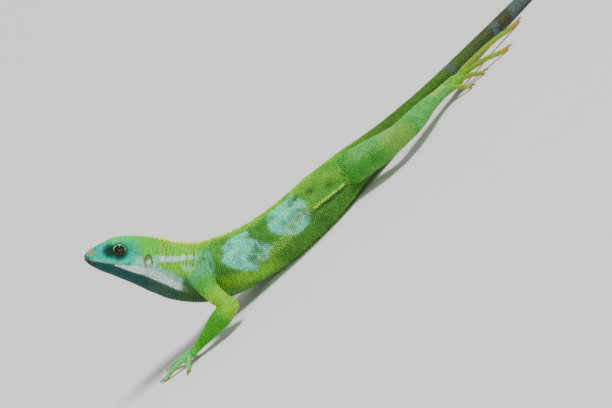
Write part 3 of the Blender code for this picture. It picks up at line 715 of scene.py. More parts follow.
apply_modifier(skin, "melt")
print("skin after melting together:", len(skin.data.vertices), "points")

# %% [markdown]
# ## Smoothing and folds
# The remesh leaves a fine stair pattern and sharp creases where tubes meet. Averaging each point with its
# neighbours a few times takes off the stairs, and many times near the creases turns them into soft
# webs of skin. The folds are ridges and hollows along lines on the body: across the neck, behind the
# shoulder, along the groin and on the loose skin of the flank, where a resting iguana's skin lies in
# wrinkles.

# %% Smoothing
SMOOTH_ALL = 4
SMOOTH_JOINS = 60
SMOOTH_SHARE = 0.6
FULL_WITHIN = 0.25
FAR = 99.0
BEND_REACH = {"arm": (5.0, 11.0), "leg": (7.0, 14.0)}
JOIN_REACH = {"body": 3.2, "limb": 3.2, "digit": 1.1}


def coordinates(obj):
    found = np.empty(len(obj.data.vertices) * 3)
    obj.data.vertices.foreach_get("co", found)
    return found.reshape(-1, 3) / MM


def set_coordinates(obj, points):
    obj.data.vertices.foreach_set("co", (points * MM).ravel())
    obj.data.update()


def normals(obj):
    found = np.empty(len(obj.data.vertices) * 3)
    obj.data.vertices.foreach_get("normal", found)
    return found.reshape(-1, 3)


def survey(points):
    """How far outside each tube every point is, or a large number where it is far away."""
    away = np.full((len(tubes), len(points)), FAR)
    for k, tube in enumerate(tubes):
        near = np.all((points > tube.low) & (points < tube.high), axis=1)
        if near.any():
            away[k, near] = tube.locate(points[near])[2]
    return away


def averaged(points, edges, counts):
    """Each point moved to the mean of its neighbours."""
    total = np.empty_like(points)
    for axis in range(3):
        value = points[:, axis]
        total[:, axis] = np.bincount(edges[:, 0], value[edges[:, 1]], len(points))
        total[:, axis] += np.bincount(edges[:, 1], value[edges[:, 0]], len(points))
    return total / counts[:, None]


points = coordinates(skin)
edges = np.empty(len(skin.data.edges) * 2, int)
skin.data.edges.foreach_get("vertices", edges)
edges = edges.reshape(-1, 2)
counts = np.maximum(np.bincount(edges.ravel(), minlength=len(points)), 1)
away = survey(points)
kinds = ["body"] + ["limb"] * len(limbs) + ["digit"] * len(digits)
reach = np.array([JOIN_REACH[kind] for kind in kinds])
order = np.argsort(away, axis=0)[:2]
second = np.take_along_axis(away, order[1:2], axis=0)[0]
smaller_reach = np.minimum(reach[order[0]], reach[order[1]])
at_join = 1 - rise(np.abs(second), FULL_WITHIN * smaller_reach, smaller_reach)
for name, tube in limbs.items():
    from_bend = np.linalg.norm(points - tube.points[JOINT], axis=1)
    at_join = np.maximum(at_join, 1 - rise(from_bend, *BEND_REACH[name[:3]]))
for step in range(SMOOTH_JOINS):
    share = SMOOTH_SHARE if step < SMOOTH_ALL else SMOOTH_SHARE * at_join[:, None]
    points += (averaged(points, edges, counts) - points) * share
print("points smoothed near joins:", int((at_join > 0.1).sum()))

# %% Folds
LEFT, RIGHT = 1, -1


def on_body(at, from_back, side):
    """Places on the body by distance and by the angle from the middle of the back, in degrees."""
    angle = np.radians(90 + side * np.asarray(from_back, float))
    return body.surface(np.asarray(at, float), angle)[0]


def fold_line(rows, side):
    """A smooth line over the body through places given as distance and angle from the back."""
    rows = np.array(rows, float)
    share = np.linspace(0, len(rows) - 1, 12 * len(rows))
    values = through(np.arange(len(rows)), rows, share)[0]
    return on_body(values[:, 0], values[:, 1], side)


# Each fold: its line as (distance, angle from the back), its height and its width.
FOLDS = [
    ([(44.0, 24), (45.5, 50), (45.0, 74)], -0.45, 0.6),
    ([(55.5, 20), (57.0, 44), (57.6, 70)], -0.4, 0.55),
    ([(60.5, 16), (61.8, 42), (61.4, 72)], -0.65, 0.7),
    ([(63.6, 30), (66.0, 52), (66.5, 74)], 0.5, 0.8),
    ([(66.5, 34), (69.6, 56), (71.0, 80)], 0.55, 0.8),
    ([(69.5, 40), (73.0, 60), (75.0, 84)], 0.55, 0.8),
    ([(73.0, 48), (77.0, 66), (79.0, 88)], 0.5, 0.8),
    ([(128.0, 52), (134.0, 57), (141.0, 62)], 0.45, 1.6),
    ([(136.0, 30), (142.0, 38)], -0.7, 2.2),
    ([(144.0, 42), (150.0, 52)], -0.85, 2.5),
    ([(153.0, 60), (160.0, 75)], -0.9, 2.8),
    ([(146.0, 28), (153.0, 32), (160.0, 48), (165.0, 64)], 1.2, 2.8),
    ([(143.0, 79.5), (150.0, 81.5), (157.0, 85), (163.5, 88)], 0.9, 0.8),
    ([(141.0, 86), (150.0, 89), (162.0, 95)], -0.9, 1.4),
    ([(96.0, 36), (100.0, 58), (101.0, 82)], 0.35, 1.2),
    ([(84.0, 44), (88.0, 62), (90.0, 84)], 0.3, 1.1),
    ([(108.0, 60), (112.0, 78), (113.0, 96)], 0.3, 1.3),
]
FOLD_ENDS = (0.08, 0.92)
set_coordinates(skin, points)
lift = np.zeros(len(points))
for side in (LEFT, RIGHT):
    for rows, height, width in FOLDS:
        line = fold_line(rows, side)
        middle = line.mean(0)
        extent = np.linalg.norm(line - middle, axis=1).max() + 3 * abs(width)
        near = np.linalg.norm(points - middle, axis=1) < extent
        gap = np.linalg.norm(points[near][:, None, :] - line[None], axis=2)
        nearest = gap.argmin(1)
        taper = np.sin(np.pi * np.clip(nearest / (len(line) - 1), *FOLD_ENDS))
        lift[near] += height * taper * np.exp(-((gap.min(1) / width) ** 2))
points += normals(skin) * lift[:, None]

# %% Wrinkles of the flank and the flats underneath
WRINKLE = {"tall": 0.16, "along": 1.15, "sway": 2.2, "sways": 7.0, "drift": 0.11}
FLANK_AT = (66, 158, 12)
FLANK_FROM_BACK = (34, 112, 18)
body_at, body_angle, body_out = body.locate(points)
from_back = angle_from_back(body_angle)
flank = within(body_at, *FLANK_AT) * within(from_back, *FLANK_FROM_BACK) * (np.abs(body_out) < 2)
sway = np.sin(np.radians(from_back) * WRINKLE["sways"] + WRINKLE["drift"] * body_at)
wave = np.sin(body_at * WRINKLE["along"] + WRINKLE["sway"] * sway)
points += normals(skin) * (WRINKLE["tall"] * flank * wave)[:, None]
points[:, 2] = np.maximum(points[:, 2], 0.0)
set_coordinates(skin, points)

# %% Fewer faces where the skin is flat
SKIN_FACES = 176000
thin = skin.modifiers.new("thin", "DECIMATE")
thin.ratio = SKIN_FACES / (2 * len(skin.data.polygons))
apply_modifier(skin, "thin")
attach(skin, "root")

# %% [markdown]
# ## Openings of the head
# The eyelids part in an almond, the eyeball sits in a round socket behind it, each nostril is a small hole
# in a raised scale, and the ear is a shallow cup with the drum on its floor. The line of the mouth is a
# groove that runs from one corner round the snout to the other. All of these are cut with one Boolean,
# because cut edges stay sharp where a pushed-in surface would look soft.

# %% Cutters
EYE_OPENING = (3.1, 2.4)
CORNERS_IN = 0.18
CUP = {"out": 0.5, "half_width": 2.4, "half_height": 3.8, "depth": 2.4}
NOSTRIL_OUT = 0.55
SOCKET_GAP = 0.25
MOUTH_DEPTH = 0.9
MOUTH_HALF = 0.17
MOUTH_OUT = 1.2
MOUTH_FRONT = 0.9
ALMOND = {"sides": 40, "near": 1.0, "far": 7.5, "flare": 1.25}


def mouth_height(at):
    return float(through([m[0] for m in MOUTH], [m[1] for m in MOUTH], at)[0][0, 0])


def almond_outline(turn, grow=1.0):
    """How far forwards and up the opening's edge is, drawn in towards its corners."""
    drawn_in = 1 - CORNERS_IN * np.abs(np.cos(turn))
    return grow * EYE_OPENING[0] * np.cos(turn), grow * EYE_OPENING[1] * np.sin(turn) * drawn_in


def almond(side):
    """A bar along the eye's axis with the outline of the opening between the lids."""
    centre, forwards, upwards, outwards = eye_axes(side)
    across, high = almond_outline(2 * math.pi * np.arange(ALMOND["sides"]) / ALMOND["sides"])
    wide, tall = np.outer(across, forwards), np.outer(high, upwards)
    near = centre + outwards * ALMOND["near"] + wide + tall
    far = centre + outwards * ALMOND["far"] + wide * ALMOND["flare"] + tall * ALMOND["flare"]
    return np.vstack([near, far]), ring_faces(2, ALMOND["sides"])


def nostril_axes(side):
    """Where a nostril is, and its axes: level, across, and out of the snout."""
    _, along, right, back = (a[0] for a in body.axes(NOSTRIL["back"]))
    way = unit(right * side - along * NOSTRIL["turned_ahead"] + back * NOSTRIL["turned_up"])
    level = unit(np.cross(way, back))
    return body.place(NOSTRIL["back"], side * NOSTRIL["out"], NOSTRIL["up"]), level, np.cross(way, level), way


def ear_axes(side, out):
    """Where an ear is, so far out from the skin, and its axes: forwards or back, upright, and outwards."""
    _, along, right, back = (a[0] for a in body.axes(EAR["back"]))
    away = body.skin_out(EAR["back"], EAR["up"]) + out
    centre = body.place(EAR["back"], side * away, EAR["up"])
    upright = unit(back - along * EAR["lean"])
    return centre, np.cross(upright, right * side), upright, right * side


# %% Lines along the mouth


def mouth_line(offset, inwards, step=0.6):
    """Points along the mouth from its right corner round the snout to its left corner."""
    line = []
    for at in spaced(MOUTH_CORNER, MOUTH_FRONT, step):
        up = mouth_height(at) + offset
        line.append(body.place(at, body.skin_out(at, up) - inwards, up))
    front = body.place(0.1 + inwards, 0.0, mouth_height(0.0) + offset)
    return np.array(line + [front] + [p * np.array((1, -1, 1)) for p in line[::-1]])


def mouth_groove():
    """A thin band that dips into the skin all along the mouth."""
    below = [(-MOUTH_HALF, -MOUTH_OUT), (-MOUTH_HALF, MOUTH_DEPTH)]
    above = [(MOUTH_HALF, MOUTH_DEPTH), (MOUTH_HALF, -MOUTH_OUT)]
    lines = [mouth_line(up, inwards) for up, inwards in below + above]
    points = np.stack(lines, axis=1).reshape(-1, 3)
    return points, ring_faces(len(lines[0]), 4)


# %% Cutting the openings
cutters = bpy.data.collections.new("cutters")
bpy.context.scene.collection.children.link(cutters)
shapes = [("mouth", mouth_groove())]
for side, mark in ((-1, "l"), (1, "r")):
    centre, *axes = eye_axes(side)
    shapes.append(("socket_" + mark, ball(centre, axes, [EYE["radius"] + SOCKET_GAP] * 3)))
    shapes.append(("almond_" + mark, almond(side)))
    centre, *axes = nostril_axes(side)
    hole = ball(centre + axes[2] * NOSTRIL_OUT, axes, [NOSTRIL["hole"]] * 3, 20, 12)
    shapes.append(("nostril_" + mark, hole))
    centre, *axes = ear_axes(side, CUP["out"])
    cup = ball(centre, axes, (CUP["half_width"], CUP["half_height"], CUP["depth"]), 32, 16)
    shapes.append(("cup_" + mark, cup))
for name, shape in shapes:
    cutter = outwards_faces(object_from(name, [shape]))
    bpy.context.scene.collection.objects.unlink(cutter)
    cutters.objects.link(cutter)
cut = skin.modifiers.new("openings", "BOOLEAN")
cut.operation = "DIFFERENCE"
cut.solver = "MANIFOLD"
cut.operand_type = "COLLECTION"
cut.collection = cutters
apply_modifier(skin, "openings")
for cutter in list(cutters.objects):
    bpy.data.objects.remove(cutter)
bpy.data.collections.remove(cutters)
print("skin after its openings:", len(skin.data.polygons), "faces")

# %% [markdown]
# ## Markings
# A male of this kind has a green body with two pale blue-green bands across it, a turquoise face with a
# dark mask round the eye, a white line from the jaw along the throat, and a darker tail with pale rings.
# The markings follow the body and not the world, so they are worked out from each point's place on its
# tube, and stored as a colour attribute. Skin and scales ask the same function, so they always agree.
# A marking is a list of layers: a named colour, and how much of it covers each point. Some layers are
# painted light and shade: painted shade in the hip pits, the neck and shoulder creases, below the groin fold,
# on the throat and below the eye, and painted highlights on the neck wrinkles, the hip and groin folds, the
# top of the thigh and the ankle, and partly beside the crest.

# %% Named colours
PAINTS = {
    "back": "4AAE2A",
    "flank": "3E9A38",
    "low_flank": "44872C",
    "belly": "66A64C",
    "neck": "6CD01C",
    # pale lime: lighter patches on the neck, and painted highlight on the crests of its wrinkles
    "neck_lime_and_highlight": "ACF25A",
    # lime beside the crest: partly the back's own lime, partly painted highlight along the top of the back
    "spine_side": "78D028",
    "crown": "22DE62",
    "nape": "5CDC2E",
    "face": "06B486",
    "snout": "10B4A0",
    "lip_side": "08DCC2",
    # near-black green: the dark mask round the eye, and painted shade below the eye
    "mask_and_shade": "10271A",
    "jaw": "E4FFFA",
    "cheek": "96ECD2",
    # the throat's own dark teal, darkened further as painted shade
    "throat": "1C4A4A",
    "streak": "D8FFFF",
    "band": "50E4C2",
    "band_deep": "3E9270",
    "band_vein": "A6F2DC",
    "between": "2E7A20",
    "low_lime": "92DC1C",
    "amber_row": "8CBE28",
    "shoulder": "3CC496",
    # dark green: random darker blotches behind the shoulder, and painted shade in pits, creases and folds
    "dark_mottle_and_shade": "2B5A22",
    "hip": "54A81E",
    # painted highlight on the ridge of the hip fold
    "hip_fold_highlight": "88CC26",
    # painted highlight on the crest of the groin fold
    "groin_highlight": "C8F44C",
    "tail": "487C1E",
    "tail_side": "5E5238",
    "tail_end": "4A4038",
    "tail_ring": "58686E",
    "arm": "46AC34",
    "elbow": "90D41A",
    "forearm": "36A016",
    "hand": "48C44C",
    "finger": "5CD878",
    "gold": "C88A2C",
    "thigh": "3E9C34",
    # painted highlight on the thigh's upper side
    "thigh_top_highlight": "80D86C",
    # pale lime of the knee, also used as painted highlight on top of the ankle
    "knee": "A4D854",
    "shank": "5CBC56",
    "toe": "78B82C",
}
PAINTS = {name: np.array(linear(colour)) for name, colour in PAINTS.items()}


def over(under, paint, share):
    """Lays a paint over others by its share at each point."""
    return under + (PAINTS[paint] - under) * np.clip(share, 0, 1)[:, None]


def layered(base, layers):
    """Lays paints one after another over a first one. A layer is a paint's name and its share."""
    colour = np.tile(PAINTS[base], (len(layers[0][1]), 1)) if isinstance(base, str) else base
    for paint, share in layers:
        colour = over(colour, paint, share)
    return colour


def near_line(at, height, rows, soft):
    """1 on a line given as (distance, height, half width), falling to 0 over the soft edge."""
    rows = np.array(rows, float)
    middle = np.interp(at, rows[:, 0], rows[:, 1])
    half = np.interp(at, rows[:, 0], rows[:, 2])
    ends = within(at, rows[0, 0], rows[-1, 0], soft)
    return ends * (1 - rise(np.abs(height - middle), half, half + soft))


def mottle(points, size, seed):
    """Soft blotches of a size in mm, mostly from 0 to 1: seven waves in drawn directions, added up."""
    waves = np.random.default_rng(seed)
    total = np.zeros(len(points))
    for _ in range(7):
        way = unit(waves.normal(size=3)) * math.pi / (size * waves.uniform(0.7, 1.4))
        total += np.sin(points @ way + waves.uniform(0, 2 * math.pi))
    return 0.5 + total / 7


# %% Body markings
JAW_LINE = [(17.5, -3.2, 0.2), (22.0, -4.0, 0.8), (26.0, -4.4, 1.4), (30.0, -4.7, 2.1), (36.0, -5.4, 2.4)]
JAW_LINE += [(46.0, -7.5, 2.3), (56.0, -10.0, 1.9), (61.0, -11.8, 1.1)]
THROAT_EDGE = [(0, -0.3), (5, -1.9), (12, -2.8), (18, -3.3), (24, -5.0)]
THROAT_EDGE += [(30, -6.4), (36, -7.4), (46, -9.6), (60, -12.7), (72, -15.4)]
NECK_STREAK = [(38.0, 71, 7), (44.0, 67, 7), (51.0, 58, 5.5), (59.0, 48, 2.5)]
NECK_PATCH = {"at": 58.3, "from_back": 79, "reach": (3.6, 9.0)}
# Lines across the neck along which painted shade marks the creases.
NECK_CREASES = [
    [(41.0, 50), (41.4, 66), (40.6, 84)],
    [(44.2, 26), (45.5, 50), (45.0, 74)],
    [(48.4, 34), (49.0, 56), (48.4, 78)],
    [(52.2, 24), (53.2, 48), (53.4, 74)],
    [(55.8, 20), (57.0, 44), (57.6, 70)],
    [(60.5, 16), (61.8, 42), (61.4, 72)],
]
FRONT_BAND = [(28, 90, 101), (40, 86, 101), (54, 81.5, 102), (70, 81.5, 107), (84, 84.5, 110)]
FRONT_BAND += [(96, 90, 106), (106, 94, 98)]
REAR_BAND = [(20, 122, 138), (35, 119, 138), (52, 117, 140), (66, 118, 140), (78, 120, 138), (90, 126, 134)]
TAIL_RINGS = [(267.0, 2.0), (309.0, 2.2), (333.0, 8.0), (362.0, 3.0), (390.0, 6.0), (418.0, 3.0)]
TAIL_RINGS += [(446.0, 7.0), (474.0, 3.0), (500.0, 6.0), (526.0, 3.0), (552.0, 6.0), (580.0, 4.0)]
# Hip fold: a line of painted highlight along the ridge of the hip.
HIP_FOLD = [(144.0, 24, 7), (153.0, 30, 10), (160.0, 48, 10), (166.0, 64, 6)]
# Hip pits: places of painted shade in the hollows of the hip.
HIP_PIT_SHADES = [(139.0, 34, 2.6, 6), (147.0, 47, 3.0, 7), (157.0, 68, 3.4, 8), (169.0, 74, 4.0, 10)]
# Groin: a line of painted highlight on the crest of the fold, with painted shade below it.
GROIN_HIGHLIGHT = [(143.0, 79.5, 1.2), (150.0, 81.5, 1.3), (157.0, 85, 1.3), (163.5, 88, 1.0)]
GROIN_SHADE = [(141.0, 86, 2.5), (150.0, 89, 3.5), (162.0, 95, 3)]
AMBER_ROWS = [(100.0, 96, 3), (117.0, 88, 5), (132.0, 76, 5), (140.0, 68, 3)]

# %% Bands and creases


def across_body(at, from_back, rows, soft):
    """1 inside a band given as (angle from the back, front edge, rear edge)."""
    rows = np.array(rows, float)
    front = np.interp(from_back, rows[:, 0], rows[:, 1])
    rear = np.interp(from_back, rows[:, 0], rows[:, 2])
    height = within(from_back, rows[0, 0], rows[-1, 0], 6.0)
    return height * within(at, front, rear, soft)


def crease(at, from_back, rows, half):
    """1 along a thin line that runs down the body, given as (distance, angle from the back)."""
    rows = np.array(rows, float)
    middle = np.interp(from_back, rows[:, 1], rows[:, 0])
    return within(from_back, rows[0, 1], rows[-1, 1], 6.0) * np.exp(-(((at - middle) / half) ** 2))


def oval(across, down):
    """1 in the middle of an oval, falling softly to 0 outside it."""
    return np.exp(-(across**2 + down**2))


# %% Colours of the trunk


def trunk_paint(at, from_back, points):
    """Back, flanks, bands, shoulder and hips, with painted shade in the pits, creases and folds and painted
    highlights on the neck wrinkles, the hip fold and the groin fold.
    """
    blotch = mottle(points, 7.0, 11)
    ribs = 0.5 + 0.5 * np.sin(1.9 * at - 0.055 * from_back)
    shoulder = within(at, 64.0, 72, 4) * within(from_back, 40, 88, 10)
    on_neck = within(at, 38, 63, 5) * within(from_back, 16, 96, 12)
    # stripes across the neck: the crests get painted highlight, the troughs painted shade
    lit_wrinkle_crests = (0.5 + 0.5 * np.sin(2.9 * at + 2.4 * mottle(points, 6.0, 14))) ** 2
    colour = layered("back", [
        ("flank", rise(from_back, 18, 45)),
        ("low_flank", rise(from_back, 80, 102)),
        ("belly", rise(from_back, 118, 145)),
        ("neck", within(at, 26, 62, 9) * (1 - rise(from_back, 92, 118))),
        # lime strip beside the crest, partly painted highlight along the top of the back
        ("spine_side", 0.75 * rise(at, 56, 70) * (1 - rise(from_back, 8, 26))),
        # random darker blotches over the body behind the shoulder
        ("dark_mottle_and_shade", 0.42 * rise(at, 64, 80) * rise(blotch, 0.52, 0.85)),
        ("shoulder", 0.7 * shoulder),
        # painted shade in the rib folds of the shoulder
        ("dark_mottle_and_shade", 0.6 * shoulder * ribs**3),
        # lighter lime patches on the neck
        ("neck_lime_and_highlight", 0.45 * on_neck * rise(mottle(points, 4.0, 15), 0.35, 0.7)),
        # painted highlight on the wrinkle crests
        ("neck_lime_and_highlight", 0.4 * on_neck * lit_wrinkle_crests),
        # painted shade in the wrinkle troughs
        ("dark_mottle_and_shade", 0.22 * on_neck * (1 - lit_wrinkle_crests) ** 4),
        ("between", 0.6 * within(at, 104, 118, 5) * within(from_back, 30, 78, 14)),
        ("low_lime", 0.6 * within(at, 78, 100, 16) * within(from_back, 110, 122, 16)),
        ("amber_row", 0.2 * near_line(at, from_back, AMBER_ROWS, 10.0)),
    ])
    ragged = 2.2 * (mottle(points, 4.5, 5) - 0.5) + 1.2 * (mottle(points, 1.9, 6) - 0.5)
    bands = across_body(at + ragged, from_back + 3 * ragged, FRONT_BAND, 2.6)
    bands = np.maximum(bands, across_body(at + ragged, from_back + 3 * ragged, REAR_BAND, 2.6))
    net = mottle(points, 3.2, 8)
    inside = layered("band", [
        ("band_deep", rise(blotch, 0.32, 0.85)),
        ("band_vein", 0.5 * np.exp(-(((net - 0.5) / 0.12) ** 2))),
    ])
    colour += (inside - colour) * (0.9 * bands)[:, None]
    layers = [
        ("hip", 0.7 * within(at, 144, 168, 5) * within(from_back, 20, 84, 12)),
        # painted highlight along the ridge of the hip fold
        ("hip_fold_highlight", 0.35 * near_line(at, from_back, HIP_FOLD, 8.0)),
    ]
    # painted shade in the hip pits
    for place, down, long, deep in HIP_PIT_SHADES:
        dark_mottle_and_shade = oval((at + 0.5 * ragged - place) / long, (from_back - down) / deep)
        layers.append(("dark_mottle_and_shade", 0.75 * dark_mottle_and_shade))
    # painted shade below the groin fold
    layers.append(("dark_mottle_and_shade", 0.7 * near_line(at, from_back, GROIN_SHADE, 3.0)))
    # painted highlight on the crest of the groin fold
    layers.append(("groin_highlight", near_line(at, from_back, GROIN_HIGHLIGHT, 1.1)))
    return layered(colour, layers)


# %% Colours of the head


def eye_mask_and_shade(side, points):
    """The dark mask of one side: an oval in front of the eye and one round it, which reaches below the eye as
    painted shade.
    """
    centre, forwards, upwards, outwards = eye_axes(side)
    offset = points - centre
    ahead, high = offset @ forwards, offset @ upwards
    mask_and_shade = np.exp(-((((ahead - 5.2) / 4.6) ** 2 + ((high + 1.5) / 4.1) ** 2) ** 3))
    mask_and_shade = np.maximum(mask_and_shade, np.exp(-((((ahead - 0.2) / 5.4) ** 2 + ((high + 1.6) / 4.8) ** 2) ** 3)))
    return mask_and_shade * ((offset @ outwards) > -2.0)


def head_layers(at, from_back, up, points):
    """Face, mask, jaw, throat and the streaks of the neck. Painted shade lies below the eye, on the throat,
    in the neck creases and where the neck meets the shoulder.
    """
    patch_at, patch_back = NECK_PATCH["reach"]
    patch = ((at - NECK_PATCH["at"]) / patch_at) ** 2
    patch += ((from_back - NECK_PATCH["from_back"]) / patch_back) ** 2
    patchy = (0.75 + 0.3 * mottle(points, 2.6, 12)) * (1 - 0.35 * rise(at, 46, 58))
    teal_edge = 25.5 + 0.085 * from_back
    side_of_face = rise(from_back + 2.2 * np.maximum(15 - at, 0), 20, 42)
    above_lip = up - np.interp(at, *zip(*MOUTH))
    behind_ear = within(up + 0.22 * (at - 38), -8.0, -1.5, 3.0)
    edge = np.interp(at, *zip(*THROAT_EDGE))
    return [
        ("streak", 0.36 * np.exp(-(patch**2))),
        ("streak", patchy * near_line(at, from_back, NECK_STREAK, 6.5)),
        # painted shade in the creases across the neck
        *[("dark_mottle_and_shade", 0.35 * crease(at, from_back, rows, 0.45)) for rows in NECK_CREASES],
        ("nape", within(at, 20, 36, 8) * (1 - rise(from_back, 70, 100))),
        ("crown", (1 - rise(at, 21, 34)) * (1 - rise(from_back, 58, 84))),
        ("face", (1 - rise(at, teal_edge - 4, teal_edge + 5)) * side_of_face),
        ("snout", 0.85 * (1 - rise(at, 7, 17)) * (1 - rise(from_back, 60, 100))),
        ("lip_side", 0.45 * within(at, 6, 27, 5) * within(above_lip, 0.8, 4.5, 2.5)),
        ("lip_side", 0.9 * within(at, 8, 24, 5) * within(above_lip, 0.8, 2.2, 1.2)),
        ("mask_and_shade", 0.7 * (1 - rise(at, 2.0, 5.0)) * (1 - rise(above_lip, 0.8, 2.4))),
        ("cheek", 0.8 * within(at, 30.5, 39, 5) * within(up, -7.0, 1.5, 3.0)),
        ("cheek", 0.8 * within(at, 38, 56, 5) * behind_ear),
        ("jaw", 0.97 * near_line(at, up, JAW_LINE, 1.1)),
        # dark teal throat, darkened further as painted shade
        ("throat", 0.95 * (1 - rise(at, 66, 80)) * (1 - rise(up, edge - 0.6, edge + 0.1))),
        # painted shade in the hollow where the neck meets the shoulder
        ("dark_mottle_and_shade", 0.85 * within(at, 59, 67, 3) * within(up, -16, -6, 3)),
        # the dark mask round each eye, reaching below it as painted shade
        *[("mask_and_shade", 0.93 * eye_mask_and_shade(side, points)) for side in (-1, 1)],
    ]


# %% Colours of the tail, and the whole body's


def tail_layers(at, from_back, points):
    """The tail darkens behind the hips and has narrow rings."""
    layers = [
        ("tail", rise(at, 176, 200) * (1 - 0.6 * rise(from_back, 110, 150))),
        ("tail_side", 0.75 * rise(at, 225, 262) * rise(from_back, 70, 125)),
        ("tail_end", 0.85 * rise(at, 250, 316)),
    ]
    ragged = 1.6 * (mottle(points, 2.4, 9) - 0.5)
    for place, half in TAIL_RINGS:
        strength = float(rise(place, 210, 320)) * 0.45 + 0.4
        layers.append(("tail_ring", strength * within(at + ragged, place - half, place + half, 1.4)))
    return layers


def body_paint(at, angle, outside, points):
    from_back = angle_from_back(angle)
    up = (body.radius(np.clip(at, 0, body.length), angle) + outside) * np.sin(angle)
    layers = head_layers(at, from_back, up, points) + tail_layers(at, from_back, points)
    return layered(trunk_paint(at, from_back, points), layers)


# %% Limb markings


def arm_paint(tube, at, angle):
    share = at / tube.length
    joint = tube.keys[JOINT] / tube.length
    return layered("arm", [
        ("shoulder", 0.55 * (1 - rise(share, 0.10, 0.24))),
        ("forearm", rise(share, joint + 0.04, joint + 0.14)),
        ("elbow", 0.9 * within(share, joint - 0.12, joint + 0.02, 0.09)),
        ("hand", rise(share, 0.80, 0.92)),
        ("belly", 0.5 * rise(-np.sin(angle), 0.3, 0.9)),
    ])


def leg_paint(tube, at, angle):
    share = at / tube.length
    joint = tube.keys[JOINT] / tube.length
    # the leg's upper side, which gets painted highlights
    lit_upper_side = rise(np.sin(angle), 0.1, 0.7)
    return layered("thigh", [
        # painted highlight on the top of the thigh
        ("thigh_top_highlight", 0.5 * within(share, 0.16, 0.36, 0.07) * lit_upper_side),
        ("shank", 0.9 * rise(share, joint + 0.04, joint + 0.14)),
        ("knee", 0.45 * within(share, joint - 0.03, joint + 0.03, 0.08)),
        # painted highlight on the upper side of the ankle
        ("knee", 0.75 * within(share, 0.76, 0.84, 0.05) * lit_upper_side),
        ("toe", 0.85 * rise(share, 0.84, 0.94)),
        ("belly", 0.5 * rise(-np.sin(angle), 0.3, 0.9)),
    ])


def digit_paint(tube, at, angle):
    own, below, at_tip = ("finger", 0.55, 0.25) if tube.name.startswith("arm") else ("toe", 0.9, 0.75)
    return layered(own, [
        ("gold", below * rise(-np.sin(angle), -0.2, 0.6)),
        ("gold", at_tip * rise(at / tube.length, 0.8, 1.0)),
    ])


def tube_paint(tube, at, angle, outside, points):
    if tube is body:
        return body_paint(at, angle, outside, points)
    if tube.name in digits:
        return digit_paint(tube, at, angle)
    return arm_paint(tube, at, angle) if tube.name.startswith("arm") else leg_paint(tube, at, angle)


# %% Blending where two tubes meet
BLEND = 0.9


def markings(points):
    """The colour of every point, blended where two tubes meet, and how far outside each tube it is."""
    away = survey(points)
    best = away.min(0)
    total = np.zeros((len(points), 3))
    weight = np.zeros(len(points))
    for k, tube in enumerate(tubes):
        near = away[k] < best + 3.0 * BLEND
        if near.any():
            at, angle, outside = tube.locate(points[near])
            share = np.exp(-(away[k, near] - best[near]) / BLEND)
            paint = tube_paint(tube, np.clip(at, 0, tube.length), angle, outside, points[near])
            total[near] += paint * share[:, None]
            weight[near] += share
    return total / weight[:, None], away


def set_attribute(obj, name, kind, values):
    """Stores a value for every point of a mesh."""
    layer = obj.data.attributes.new(name, kind, "POINT")
    if kind == "FLOAT_COLOR":
        values = np.hstack([values, np.ones((len(values), 1))])
        layer.data.foreach_set("color", values.astype(np.float32).ravel())
    else:
        layer.data.foreach_set("value", values.astype(np.float32))


# The skin shows only in the slits between scales, and its colour is darkened there as painted shade.
SEAM_SHADE = 0.55
skin_colour = markings(coordinates(skin))[0]
set_attribute(skin, "coat", "FLOAT_COLOR", skin_colour * SEAM_SHADE)
print("skin points marked:", len(skin_colour))

# %% [markdown]
# ## The coat of scales
# Tens of thousands of scales cover the skin. Each is a small closed solid with a low dome, modelled once
# and copied by arithmetic, because that many objects would choke any scene. Rows run round each
# tube, every second row shifted by half a scale, as the real ones are, so the eye sees slanting lines.
# Each scale is set on the nearest point of the skin and leans with it. Scales are smallest on the face
# and feet, flat and larger on the crown, and keeled on the tail.

# %% Scales modelled once


def drawn_up(sides, rings, tip):
    """A closed form drawn up from a disc: each ring is extruded, moved and scaled, and the last is closed."""
    deselect()
    bpy.ops.mesh.primitive_circle_add(vertices=sides, radius=1.0, fill_type="NGON")
    made = bpy.context.active_object
    bpy.ops.object.mode_set(mode="EDIT")
    for move, size in rings:
        bpy.ops.mesh.extrude_region_move(TRANSFORM_OT_translate={"value": move})
        bpy.ops.transform.resize(value=size)
    bpy.ops.mesh.extrude_region_move(TRANSFORM_OT_translate={"value": tip})
    bpy.ops.mesh.merge(type="CENTER")
    bpy.ops.mesh.select_all(action="SELECT")
    bpy.ops.mesh.quads_convert_to_tris()
    bpy.ops.mesh.normals_make_consistent(inside=False)
    bpy.ops.object.mode_set(mode="OBJECT")
    return made


def as_template(made, sunk, tilt=0.0):
    """The points and triangles of a modelled form, and how far each point is from rim to crown."""
    points = np.array([v.co for v in made.data.vertices])
    faces = np.array([p.vertices for p in made.data.polygons])
    rise_to_crown = points[:, 2] / points[:, 2].max()
    points[:, 2] += tilt * points[:, 0] - sunk
    bpy.data.objects.remove(made)
    return points, faces, rise_to_crown


ROOT = 0.55
GRAIN = as_template(drawn_up(6, [((0, 0, 1.15), (0.78, 0.76, 1))], (0.12, 0, 0.4)), ROOT)
KEELED = as_template(drawn_up(6, [((0, 0, 1.1), (0.74, 0.7, 1))], (0.42, 0, 0.7)), ROOT, tilt=0.25)
PLATE = as_template(drawn_up(8, [((0, 0, 1.15), (0.84, 0.8, 1))], (0.0, 0, 0.25)), ROOT)
print("triangles in a grain, a keeled scale and a plate:", [len(form[1]) for form in (GRAIN, KEELED, PLATE)])

# %% Setting scales on the skin
skin_tree = BVHTree.FromPolygons([v.co for v in skin.data.vertices], [p.vertices for p in skin.data.polygons])
draws = np.random.default_rng(7)
FLAT_UNDER = 0.12
TURNED_AWAY = -0.1
FACING_DOWN = -0.8


